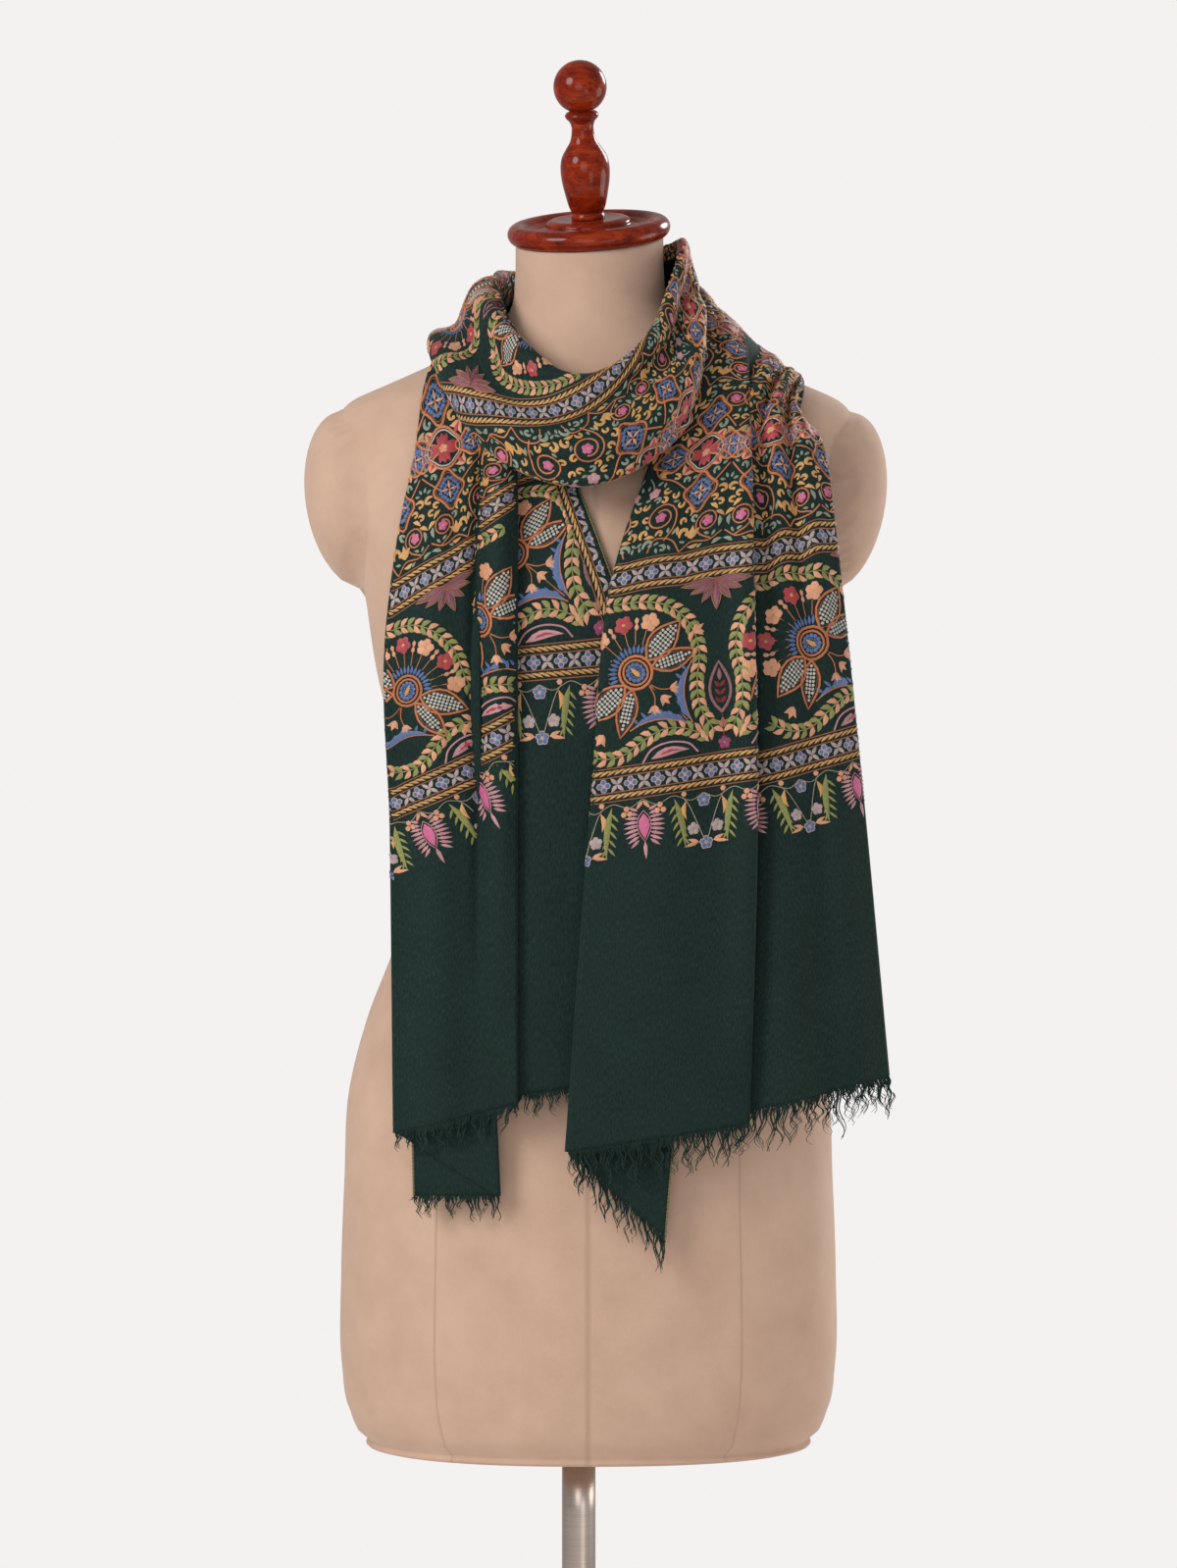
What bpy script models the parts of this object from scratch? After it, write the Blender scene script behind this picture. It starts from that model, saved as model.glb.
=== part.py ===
"""A pashmina shawl wound once round the neck of a limbless dress form on a pole stand.

Metres, +Z up, the front faces -Y. The origin is the centre of the base's underside, on the pole's axis.
The shawl is one piece of cloth: its right end rises over the right shoulder, passes behind the neck,
comes round the left side as a loose loop across the chest, goes up the right side of the neck, passes
behind it again inside the first pass, and falls as the left end. Right and left are the viewer's.
"""

import math

import bmesh
import bpy
import numpy as np
from mathutils import Vector
from mathutils.bvhtree import BVHTree

GAP = 0.0003  # between pieces that touch
WALL = 0.0016  # the cloth

# The dress form: a padded torso cover over a hard shell.
FORM_BOTTOM = 0.640
NECK_X = 0.0077
NECK_TOP = 1.503  # at the neck's axis; the top leans forward and to the left, and the cap with it
CAP_TILT_FORWARD = math.radians(13)
CAP_TILT_LEFT = math.radians(3.6)
FORM_SIDES = 36

# The stand.
POLE_RADIUS = 0.012
BASE_HEIGHT = 0.032
COLLAR_RADIUS = 0.0151
COLLAR_HEIGHT = 0.0035

# The shawl: distances along the cloth from each hem, in metres.
HEM, BORDER, BAND, CHEST = 0.0, 0.240, 0.402, 0.480
RIGHT_SHOULDER, LEFT_SHOULDER = 0.640, 0.610
CLEAR = 0.0035  # from the form to the innermost layer's middle
LAYER = 0.0042  # from one layer of folded cloth to the next
TUCK_LIFT = 0.0020  # the ends' extra clearance where they pass over the shoulders
DRAPE_WIDTH = 0.262  # half width of the oval that the hanging cloth follows
DRAPE_POWER = 2.2

FORM_RINGS = (
    # height, centre_x, half_width, front, back, squareness, tilt_share
    (0.6400, 0.007, 0.105, 0.062, 0.060, 2.3, 0.0),
    (0.6425, 0.007, 0.142, 0.088, 0.084, 2.3, 0.0),
    (0.6500, 0.007, 0.158, 0.099, 0.097, 2.3, 0.0),
    (0.6700, 0.007, 0.171, 0.108, 0.108, 2.3, 0.0),
    (0.7020, 0.007, 0.1765, 0.112, 0.114, 2.3, 0.0),
    (0.7660, 0.007, 0.177, 0.112, 0.118, 2.3, 0.0),
    (0.8360, 0.007, 0.1745, 0.109, 0.117, 2.3, 0.0),
    (0.8990, 0.007, 0.171, 0.103, 0.109, 2.3, 0.0),
    (0.9500, 0.007, 0.158, 0.096, 0.098, 2.3, 0.0),
    (1.0000, 0.008, 0.140, 0.088, 0.086, 2.3, 0.0),
    (1.0600, 0.009, 0.126, 0.085, 0.079, 2.3, 0.0),
    (1.1300, 0.010, 0.138, 0.098, 0.086, 2.3, 0.0),
    (1.2040, 0.011, 0.156, 0.114, 0.098, 2.4, 0.0),
    (1.2450, 0.011, 0.162, 0.115, 0.103, 2.4, 0.0),
    (1.2900, 0.012, 0.170, 0.107, 0.105, 2.4, 0.0),
    (1.3300, 0.012, 0.178, 0.094, 0.101, 2.4, 0.0),
    (1.3600, 0.012, 0.182, 0.083, 0.095, 2.4, 0.0),
    (1.3780, 0.012, 0.183, 0.076, 0.088, 2.3, 0.0),
    (1.3900, 0.012, 0.172, 0.072, 0.082, 2.2, 0.0),
    (1.4000, 0.012, 0.150, 0.068, 0.076, 2.1, 0.0),
    (1.4120, 0.011, 0.122, 0.064, 0.070, 2.0, 0.0),
    (1.4250, 0.010, 0.094, 0.060, 0.064, 2.0, 0.0),
    (1.4400, 0.009, 0.069, 0.056, 0.058, 2.0, 0.1),
    (1.4560, 0.008, 0.0565, 0.0535, 0.054, 2.0, 0.3),
    (1.4780, NECK_X, 0.0530, 0.0520, 0.0520, 2.0, 0.7),
    (NECK_TOP, NECK_X, 0.0525, 0.0520, 0.0520, 2.0, 1.0),
)

ARM_STUMPS = (
    # side, centre_x, height, radius_x, radius_y, radius_z, lean_degrees
    ("left", -0.160, 1.319, 0.0345, 0.050, 0.0640, -9.0),
    ("right", 0.186, 1.318, 0.0325, 0.050, 0.0640, 9.0),
)

CAP_PROFILE = (
    # radius, height, from the rim's underside round and into the dish
    (0.0500, 0.0000),
    (0.0545, 0.0010),
    (0.0572, 0.0040),
    (0.0580, 0.0075),
    (0.0568, 0.0112),
    (0.0535, 0.0138),
    (0.0492, 0.0142),
    (0.0455, 0.0126),
    (0.0432, 0.0106),
    (0.0400, 0.0100),
    (0.0330, 0.0104),
    (0.0308, 0.0112),
    (0.0298, 0.0140),
    (0.0282, 0.0152),
    (0.0180, 0.0156),
)
FINIAL_PROFILE = (
    # radius, height above the cap
    (0.0118, 0.0000),
    (0.0121, 0.0020),
    (0.0112, 0.0040),
    (0.0126, 0.0075),
    (0.0155, 0.0190),
    (0.0172, 0.0290),
    (0.0174, 0.0370),
    (0.0160, 0.0440),
    (0.0125, 0.0500),
    (0.0094, 0.0550),
    (0.0080, 0.0610),
    (0.0078, 0.0650),
    (0.0092, 0.0690),
    (0.0112, 0.0712),
    (0.0120, 0.0730),
    (0.0108, 0.0752),
    (0.0084, 0.0762),
)
FINIAL_BALL_RADIUS = 0.0188
FINIAL_BALL_START, FINIAL_BALL_END = 26, 172  # degrees from the ball's lowest point
BASE_PROFILE = (
    # radius, height, from the boss's rim down to the base's foot
    (0.0200, 0.0320),
    (0.0215, 0.0312),
    (0.0225, 0.0290),
    (0.0240, 0.0245),
    (0.0320, 0.0205),
    (0.0700, 0.0165),
    (0.1200, 0.0125),
    (0.1600, 0.0098),
    (0.1740, 0.0080),
    (0.1790, 0.0055),
    (0.1800, 0.0025),
    (0.1790, 0.0000),
)

# Each fold line of a hanging end, from one selvedge to the other. across is its place in the flat cloth;
# lift is the layer of the panel that starts there. x and z are the line's places at the hem, at the lower
# and upper edges of the embroidered borders, and at the chest.
RIGHT_FOLDS = (
    # name, across, lift, band_share, hem_x, hem_z, border_x, border_z, band_x, band_z, chest_x, chest_z
    ("rear_selvedge", 0.000, 1.5, 0.00, 0.060, 0.808, 0.077, 1.038, 0.076, 1.197, 0.076, 1.280),
    ("inner_fold", 0.090, 3.2, 0.20, -0.009, 0.868, 0.009, 1.108, 0.025, 1.269, 0.048, 1.339),
    ("step_fold", 0.230, 2.1, 0.46, 0.118, 0.886, 0.123, 1.116, 0.120, 1.278, 0.119, 1.353),
    ("hidden_fold", 0.255, 1.0, 0.50, 0.100, 0.891, 0.103, 1.120, 0.103, 1.280, 0.103, 1.354),
    ("outer_fold", 0.365, 0.0, 0.80, 0.217, 0.916, 0.196, 1.130, 0.179, 1.290, 0.171, 1.359),
    ("return_edge", 0.430, 0.0, 1.00, 0.162, 0.912, 0.151, 1.128, 0.141, 1.286, 0.136, 1.357),
)
LEFT_FOLDS = (
    # name, across, lift, band_share, hem_x, hem_z, border_x, border_z, band_x, band_z, chest_x, chest_z
    ("inner_selvedge", 0.000, 0.0, 0.00, 0.012, 0.913, 0.045, 1.178, -0.005, 1.342, -0.011, 1.377),
    ("hidden_fold", 0.086, 1.0, 0.22, -0.054, 0.904, -0.054, 1.173, -0.052, 1.327, -0.050, 1.371),
    ("strip_fold", 0.100, 2.0, 0.27, -0.042, 0.900, -0.042, 1.149, -0.042, 1.313, -0.043, 1.365),
    ("outer_fold", 0.197, 1.0, 0.78, -0.128, 0.879, -0.130, 1.088, -0.132, 1.234, -0.120, 1.316),
    ("rear_fold", 0.268, 0.0, 0.92, -0.054, 0.836, -0.065, 1.081, -0.067, 1.236, -0.067, 1.319),
    ("rear_selvedge", 0.328, 0.0, 1.00, -0.114, 0.835, -0.119, 1.081, -0.121, 1.236, -0.111, 1.319),
)

# The cloth round the neck, by the angle travelled from the right shoulder behind the neck: the band's
# innermost face at its middle, how its width leans out from upright, and what lies between it and the form
# at its upper and its lower edge.
WRAP_STATIONS = (
    # turn, radius, height, half_width, lean, depth, beneath, beneath_low
    (0, 0.1060, 1.4220, 0.0420, 46, 0.014, 0.002, 0.002),
    (45, 0.0940, 1.4270, 0.0500, 20, 0.018, 0.009, 0.001),
    (90, 0.0870, 1.4300, 0.0520, 7, 0.018, 0.012, 0.001),
    (135, 0.0860, 1.4340, 0.0490, 18, 0.017, 0.013, 0.003),
    (180, 0.0785, 1.4420, 0.0360, 38, 0.014, 0.011, 0.011),
    (210, 0.0845, 1.4170, 0.0400, 38, 0.019, 0.012, 0.012),
    (240, 0.0960, 1.3760, 0.0440, 34, 0.023, 0.014, 0.014),
    (270, 0.1040, 1.3560, 0.0420, 28, 0.024, 0.008, 0.008),
    (300, 0.0930, 1.3900, 0.0410, 32, 0.020, 0.013, 0.015),
    (320, 0.0765, 1.4230, 0.0370, 27, 0.013, 0.011, 0.015),
    (338, 0.0680, 1.4610, 0.0280, 19, 0.009, 0.011, 0.013),
    (350, 0.0655, 1.4790, 0.0230, 13, 0.008, 0.009, 0.012),
    (365, 0.0650, 1.4800, 0.0250, 6, 0.009, 0.001, 0.001),
    (405, 0.0600, 1.4700, 0.0290, 5, 0.009, 0.000, 0.000),
    (450, 0.0590, 1.4600, 0.0300, 7, 0.009, 0.000, 0.000),
    (495, 0.0600, 1.4500, 0.0300, 20, 0.009, 0.000, 0.000),
    (540, 0.0700, 1.4400, 0.0300, 44, 0.009, 0.002, 0.002),
    (570, 0.0820, 1.4200, 0.0320, 44, 0.009, 0.002, 0.002),
)
WRAP_REACH = 0.88 * math.pi  # how far the band's section runs either way from its middle
SECTION_POWER = 2 / 2.7
PLEATS = 2.5  # ridges across the band's outer face
PLEAT_HEIGHT = 0.0075
PLEAT_WANDER = 0.8  # how far round its section a ridge drifts for each turn about the neck
PLEAT_START = 30  # degrees over which they rise from the band's start, and fall
PLEATS_END = 362  # the turn at which they are gone
BANDS = (
    # name, first turn, last turn, rows
    ("back_wrap", 0, 180, 13),
    ("neck_loop", 180, 365, 16),
    ("inner_wrap", 365, 540, 9),
)
BAND_COLUMNS = 25
FACE_SHARE = 0.7  # how the columns crowd towards the band's outer face: 1 is even
SWEEP_ROWS = 55
SEAM = 0.0007  # between one stretch and the next
END_SEAM = 3  # half seams left between the sweep and the last row of a hanging end, which is at its turn
OVER_ENDS = (190, 353)  # the turns between which the loop lies over the two hanging ends

# An end is led into the band's section a little past its shoulder, so that it leaves along the band.
BEYOND_TURN = 22  # degrees
BEYOND_LENGTH = 0.045  # of cloth

# Soft pleats that fan down from the shoulder and die out towards the borders.
FANS = (
    # end, fold that the panel starts at, ridges, height
    ("right", "inner_fold", 1.5, 0.0050),
    ("right", "hidden_fold", 2.5, 0.0075),
    ("left", "strip_fold", 1.5, 0.0035),
)
FAN_END = 0.030  # how far short of the shoulder they start to sink into the band
FAN_RISE = 0.7  # they stand up and forward alike, square to the shoulder's slope

FRINGES = (
    # end, fold, strands, length, spread, wave
    ("right", "inner_fold", 21, 0.024, 0.000, 0.0022),
    ("right", "hidden_fold", 16, 0.026, 0.004, 0.0022),
    ("right", "rear_selvedge", 9, 0.020, 0.000, 0.0018),
    ("right", "outer_fold", 7, 0.022, 0.003, 0.0018),
    ("left", "strip_fold", 16, 0.015, -0.003, 0.0010),
    ("left", "inner_selvedge", 10, 0.014, 0.000, 0.0010),
    ("left", "rear_fold", 11, 0.015, 0.001, 0.0010),
)
STRIP_WIDTH, STRIP_HEIGHT = 0.0014, 0.0030  # the strip that a fringe's strands hang from
STRAND_SEGMENTS = 2


def clear_scene():
    for item in list(bpy.data.objects):
        bpy.data.objects.remove(item, do_unlink=True)


def collection(name):
    made = bpy.data.collections.new(name)
    bpy.context.scene.collection.children.link(made)
    return made


def material(name, colour, roughness, metallic=0.0):
    made = bpy.data.materials.new(name)
    made.use_nodes = True
    shader = made.node_tree.nodes["Principled BSDF"]
    shader.inputs["Base Color"].default_value = (*colour, 1.0)
    shader.inputs["Roughness"].default_value = roughness
    shader.inputs["Metallic"].default_value = metallic
    return made


def mesh_object(name, points, faces, where, finish):
    mesh = bpy.data.meshes.new(name)
    mesh.from_pydata([tuple(p) for p in points], [], faces)
    mesh.validate()
    item = bpy.data.objects.new(name, mesh)
    where.objects.link(item)
    if finish:
        mesh.materials.append(finish)
    mesh.shade_smooth()
    return item


def grid_faces(rows, columns, closed=False):
    """Quads of a grid of points stored row by row; a closed grid joins each row's ends."""
    steps = columns if closed else columns - 1
    faces = []
    for row in range(rows - 1):
        for column in range(steps):
            after = (column + 1) % columns
            low, high = row * columns, (row + 1) * columns
            faces.append((low + column, low + after, high + after, high + column))
    return faces


def smooth(at, knots, values):
    """A cubic curve through values (one row a knot), whose slopes come from the neighbouring knots."""
    at, knots, values = np.asarray(at, float), np.asarray(knots, float), np.asarray(values, float)
    slopes = np.gradient(values, knots, axis=0)
    place = np.clip(np.searchsorted(knots, at, side="right") - 1, 0, len(knots) - 2)
    width = knots[place + 1] - knots[place]
    share = (at - knots[place]) / width
    shape = share.shape + (1,) * (values.ndim - 1)
    share, width = share.reshape(shape), width.reshape(shape)
    start = (1 + 2 * share) * (1 - share) ** 2 * values[place]
    leave = share * (1 - share) ** 2 * width * slopes[place]
    end = share**2 * (3 - 2 * share) * values[place + 1]
    arrive = share**2 * (share - 1) * width * slopes[place + 1]
    return start + leave + end + arrive


def turned(name, profile, where, finish, sides=32):
    """A solid of revolution: a profile given from the bottom up at +X, turned round Z by a Screw."""
    points = [(0.0, 0.0, profile[0][1])]
    points += [(radius, 0.0, height) for radius, height in profile]
    points += [(0.0, 0.0, profile[-1][1])]
    mesh = bpy.data.meshes.new(name)
    mesh.from_pydata(points, [(i, i + 1) for i in range(len(points) - 1)], [])
    item = bpy.data.objects.new(name, mesh)
    where.objects.link(item)
    screw = item.modifiers.new("turn", "SCREW")
    screw.steps = screw.render_steps = sides
    screw.use_merge_vertices = True
    screw.merge_threshold = 1e-5
    screw.use_normal_flip = True
    mesh.materials.append(finish)
    return item


# ---------------------------------------------------------------- the dress form


def form_section(height):
    """centre_x, half_width, front, back, squareness and tilt_share of the torso at a height."""
    rings = np.array(FORM_RINGS)
    return smooth(height, rings[:, 0], rings[:, 1:])


def build_form(where, guides, finish):
    heights = [row[0] for row in FORM_RINGS]
    angles = np.linspace(0, 2 * math.pi, FORM_SIDES, endpoint=False)
    points = []
    for height in heights:
        centre, half, front, back, power, share = form_section(height)
        across = np.sign(np.cos(angles)) * np.abs(np.cos(angles)) ** (2 / power)
        along = np.sign(np.sin(angles)) * np.abs(np.sin(angles)) ** (2 / power)
        x = centre + half * across
        y = np.where(along < 0, front, back) * along
        z = height + share * (y * math.tan(CAP_TILT_FORWARD) + (x - centre) * math.tan(CAP_TILT_LEFT))
        points.extend(zip(x, y, z))
    faces = grid_faces(len(heights), FORM_SIDES, closed=True)
    faces.append(tuple(reversed(range(FORM_SIDES))))
    faces.append(tuple(range((len(heights) - 1) * FORM_SIDES, len(heights) * FORM_SIDES)))
    form = mesh_object("dress_form", points, faces, where, finish)
    for side, x, z, radius_x, radius_y, radius_z, lean in ARM_STUMPS:
        bpy.ops.mesh.primitive_uv_sphere_add(segments=18, ring_count=12, radius=1.0)
        stump = bpy.context.object
        stump.name = f"arm_stump_{side}"
        for owner in list(stump.users_collection):
            owner.objects.unlink(stump)
        guides.objects.link(stump)
        stump.location = (x, 0.0, z)
        stump.rotation_euler = (0.0, math.radians(lean), 0.0)
        stump.scale = (radius_x, radius_y, radius_z)
        stump.data.shade_smooth()
        stump.hide_render = True
        stump.display_type = "WIRE"
        join = form.modifiers.new(f"join_{side}", "BOOLEAN")
        join.operation = "UNION"
        join.object = stump
    return form


def build_cap(where, wood):
    """The neck cap and its finial, both turned, leaning together."""
    frame = bpy.data.objects.new("cap_frame", None)
    where.objects.link(frame)
    frame.location = (NECK_X, 0.0, NECK_TOP)
    frame.rotation_euler = (CAP_TILT_FORWARD, -CAP_TILT_LEFT, 0.0)
    cap = turned("neck_cap", CAP_PROFILE, where, wood, sides=32)
    ball = FINIAL_BALL_RADIUS
    start = math.radians(FINIAL_BALL_START)
    ball_centre = FINIAL_PROFILE[-1][1] + ball * math.cos(start)
    turns = np.linspace(start, math.radians(FINIAL_BALL_END), 9)
    round_end = [(ball * math.sin(a), ball_centre - ball * math.cos(a)) for a in turns]
    finial = turned("finial", FINIAL_PROFILE + tuple(round_end), where, wood, sides=16)
    cap.parent = finial.parent = frame
    cap.location = (0.0, 0.0, GAP)
    finial.location = (0.0, 0.0, CAP_PROFILE[-1][1] + 2 * GAP)
    return cap, finial


def build_stand(where, steel):
    upright = tuple(reversed(BASE_PROFILE))
    base = turned("stand_base", upright, where, steel, sides=36)
    bottom, top = BASE_HEIGHT + GAP, FORM_BOTTOM - GAP
    pole = turned("pole", ((POLE_RADIUS, bottom), (POLE_RADIUS, top)), where, steel, sides=24)
    low, high = top - COLLAR_HEIGHT, top
    inside = POLE_RADIUS + GAP
    outline = ((inside, low), (COLLAR_RADIUS, low), (COLLAR_RADIUS, high), (inside, high), (inside, low))
    mesh = bpy.data.meshes.new("pole_collar")
    mesh.from_pydata([(r, 0.0, z) for r, z in outline[:-1]], [(0, 1), (1, 2), (2, 3), (3, 0)], [])
    collar = bpy.data.objects.new("pole_collar", mesh)
    where.objects.link(collar)
    screw = collar.modifiers.new("turn", "SCREW")
    screw.steps = screw.render_steps = 24
    screw.use_merge_vertices = True
    screw.merge_threshold = 1e-5
    screw.use_normal_flip = True
    mesh.materials.append(steel)
    return base, pole, collar


# ---------------------------------------------------------------- the shawl


def drape_depth(x, height):
    """How far forward the hanging cloth's base lies: on the chest above the bust, plumb below it."""
    above = np.maximum(height, 1.245)
    front = form_section(above)[..., 2]
    across = np.clip(np.abs(x - NECK_X) / DRAPE_WIDTH, 0, 0.98)
    return -(front + CLEAR) * (1 - across**DRAPE_POWER) ** (1 / DRAPE_POWER)


def wrap_section(turn, share):
    """The band round the neck at one angle: a flattened ring, open on its inner side.

    share runs from 0 to 1 across the cloth; the upper edge comes before the lower one.
    """
    stations = np.array(WRAP_STATIONS, float)
    radius, height, half, lean, depth = smooth(turn, stations[:, 0], stations[:, 1:6])
    angle = math.radians(turn)
    out = np.array([math.cos(angle), math.sin(angle), 0.0])
    tilt = math.radians(lean)
    down = math.sin(tilt) * out - np.array([0.0, 0.0, math.cos(tilt)])
    away = math.cos(tilt) * out + np.array([0.0, 0.0, math.sin(tilt)])
    turn_round = (2 * np.asarray(share) - 1) * WRAP_REACH
    across = np.sign(np.sin(turn_round)) * np.abs(np.sin(turn_round)) ** SECTION_POWER
    rise = np.sign(np.cos(turn_round)) * np.abs(np.cos(turn_round)) ** SECTION_POWER
    lift = depth / 2 * (1 + rise)
    centre = np.array([NECK_X, 0.0, height]) + radius * out
    return centre + half * across[:, None] * down + lift[:, None] * away


def fold_columns(folds, steps, bend_steps=3):
    """Flat places across an end: even steps on each panel and a few round each fold."""
    table = [row[1] for row in folds]
    half_bends = bend_lengths(folds)
    places = [table[0]]
    for panel in range(len(table) - 1):
        start = table[panel] + half_bends[panel]
        end = table[panel + 1] - half_bends[panel + 1]
        places += list(np.linspace(start, end, steps[panel] + 1)[(panel == 0) :])
        if panel < len(table) - 2:
            past = table[panel + 1] + half_bends[panel + 1]
            places += list(np.linspace(end, past, bend_steps + 1)[1:-1])
    return np.array(places)


def bend_radii(folds):
    """Half the distance between the layers that each fold joins; none at the selvedges."""
    lifts = [row[2] for row in folds]
    inner = [abs(lifts[i] - lifts[i - 1]) * LAYER / 2 for i in range(1, len(folds) - 1)]
    return [0.0] + inner + [0.0]


def bend_lengths(folds):
    return [radius * math.pi / 2 for radius in bend_radii(folds)]


def panel_columns(folds, columns, name):
    """Which columns lie on the panel that starts at the named fold line, between its bends."""
    panel = [row[0] for row in folds].index(name)
    bends = bend_lengths(folds)
    start, end = folds[panel][1] + bends[panel], folds[panel + 1][1] - bends[panel + 1]
    return (columns >= start - 1e-9) & (columns <= end + 1e-9)


def folded_row(folds, columns, level):
    """One row of points across an end at a level (0 hem, 1 border, 2 band, 3 chest): panels and folds."""
    across = np.array([row[1] for row in folds])
    lifts = np.array([row[2] for row in folds]) * LAYER
    line_x = np.array([row[4 + 2 * level] for row in folds])
    line_z = np.array([row[5 + 2 * level] for row in folds])
    radii, bends = np.array(bend_radii(folds)), np.array(bend_lengths(folds))
    heading = np.sign(np.diff(line_x))
    turn_x = line_x.copy()
    turn_x[1:-1] -= heading[:-1] * radii[1:-1]
    x, z, lift = (np.zeros(len(columns)) for _ in range(3))
    for panel in range(len(folds) - 1):
        start, end = across[panel] + bends[panel], across[panel + 1] - bends[panel + 1]
        on = (columns >= start - 1e-9) & (columns <= end + 1e-9)
        share = (columns[on] - start) / (end - start)
        x[on] = turn_x[panel] + share * (turn_x[panel + 1] - turn_x[panel])
        z[on] = line_z[panel] + share * (line_z[panel + 1] - line_z[panel])
        lift[on] = lifts[panel]
    for fold in range(1, len(folds) - 1):
        offset = columns - across[fold]
        on = np.abs(offset) < bends[fold] - 1e-9
        angle = offset[on] / radii[fold]
        x[on] = turn_x[fold] + heading[fold - 1] * radii[fold] * np.cos(angle)
        z[on] = line_z[fold]
        middle = (lifts[fold] + lifts[fold - 1]) / 2
        lift[on] = middle + (lifts[fold] - lifts[fold - 1]) / 2 * np.sin(angle)
    y = drape_depth(x, z) - lift
    return np.stack([x, y, z], axis=1), lift


def hanging_end(folds, columns, rows, shoulder, turn, heading):
    """An end of the shawl: its folded rows from hem to chest, led into the band's section at the shoulder.

    rows are distances from the hem. heading is +1 where the band's angles grow away from this end.
    """
    levels = [folded_row(folds, columns, level) for level in range(4)]
    share = np.interp(columns, [row[1] for row in folds], [row[3] for row in folds])
    beyond = turn + heading * BEYOND_TURN
    controls = [points for points, _ in levels] + [wrap_section(turn, share), wrap_section(beyond, share)]
    knots = [HEM, BORDER, BAND, CHEST, shoulder, shoulder + BEYOND_LENGTH]
    return smooth(rows, knots, np.array(controls)), levels[0][1]


def fan_pleats(points, side, folds, columns, rows, shoulder):
    """Raises soft ridges on an end's panels, tallest near the shoulder and gone at the borders."""
    raised = points.copy()
    fade = np.clip((rows - BORDER) / (shoulder - BORDER), 0, 1) ** 1.5
    fade *= np.clip((shoulder - rows) / FAN_END, 0, 1)
    names = [row[0] for row in folds]
    bends = bend_lengths(folds)
    for end, fold, ridges, height in FANS:
        if end != side:
            continue
        panel = names.index(fold)
        start, stop = folds[panel][1] + bends[panel], folds[panel + 1][1] - bends[panel + 1]
        share = np.clip((columns - start) / (stop - start), 0, 1)
        wave = (1 - np.cos(2 * math.pi * ridges * share)) / 2 * np.sin(math.pi * share) ** 0.5
        lift = height * fade[:, None] * wave[None, :]
        raised[..., 1] -= lift * FAN_RISE
        raised[..., 2] += lift * FAN_RISE
    return raised


def push_clear(points, lifts, trees, edge=0.004):
    """Moves points out until each is CLEAR and its lift from every surface in trees.

    A point whose nearest place is the surface's own edge, and lies further than edge past it, stays.
    """
    moved = points.copy()
    flat, wanted = moved.reshape(-1, 3), np.broadcast_to(lifts, moved.shape[:-1]).reshape(-1) + CLEAR
    for tree in trees:
        for index, point in enumerate(flat):
            near, normal, _, distance = tree.find_nearest(Vector(point))
            height = (Vector(point) - near).dot(normal)
            beside = math.sqrt(max(0.0, distance**2 - height**2))
            if height < wanted[index] and beside < edge:
                flat[index] = np.array(Vector(point) + normal * (wanted[index] - height))
    return moved


def relax(points, rounds):
    """Evens a grid of points with its neighbours; its edges stay."""
    eased = points.copy()
    for _ in range(rounds):
        middle = eased[1:-1, 1:-1]
        around = eased[:-2, 1:-1] + eased[2:, 1:-1] + eased[1:-1, :-2] + eased[1:-1, 2:]
        eased[1:-1, 1:-1] = 0.5 * middle + 0.125 * around
    return eased


def surface_of(item):
    graph = bpy.context.evaluated_depsgraph_get()
    return BVHTree.FromObject(item, graph)


def front_surface(folds, columns, points, fold, heading):
    """The panels of an end that face forward, as a sheet to keep clear of: all those on one side of a fold."""
    place = dict((row[0], row[1]) for row in folds)[fold]
    kept = points[:, columns >= place] if heading > 0 else points[:, columns <= place][:, ::-1]
    return BVHTree.FromPolygons([tuple(p) for p in kept.reshape(-1, 3)], grid_faces(*kept.shape[:2]))


def cloth(name, points, where, finish):
    """A wall of cloth through a grid of points."""
    rows, columns = points.shape[:2]
    item = mesh_object(name, points.reshape(-1, 3), grid_faces(rows, columns), where, finish)
    wall = item.modifiers.new("wall", "SOLIDIFY")
    wall.thickness = WALL
    wall.offset = 0.0
    wall.use_rim = True
    return item


def band_pleats(points, turns, share):
    """Ridges along the band's outer face that wander across it as it goes round."""
    along, across = np.gradient(points, axis=0), np.gradient(points, axis=1)
    normal = np.cross(across, along)
    normal /= np.linalg.norm(normal, axis=2)[:, :, None]
    outer = np.clip(np.cos((2 * share - 1) * WRAP_REACH), 0, 1) ** 0.5
    started = np.clip(np.minimum(turns, PLEATS_END - turns) / PLEAT_START, 0, 1)
    phase = 2 * PLEATS * (2 * share - 1) * WRAP_REACH + PLEAT_WANDER * np.radians(turns)[:, None]
    wave = np.abs(np.cos(phase / 2))
    return (PLEAT_HEIGHT * started[:, None] * outer * wave)[:, :, None] * normal


def end_row(folds, columns, points, share):
    """The last row of a hanging end at the band's own places across the cloth."""
    places = np.interp(columns, [row[1] for row in folds], [row[3] for row in folds])
    return np.stack([np.interp(share, places, points[-1][:, axis]) for axis in range(3)], axis=1)


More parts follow.
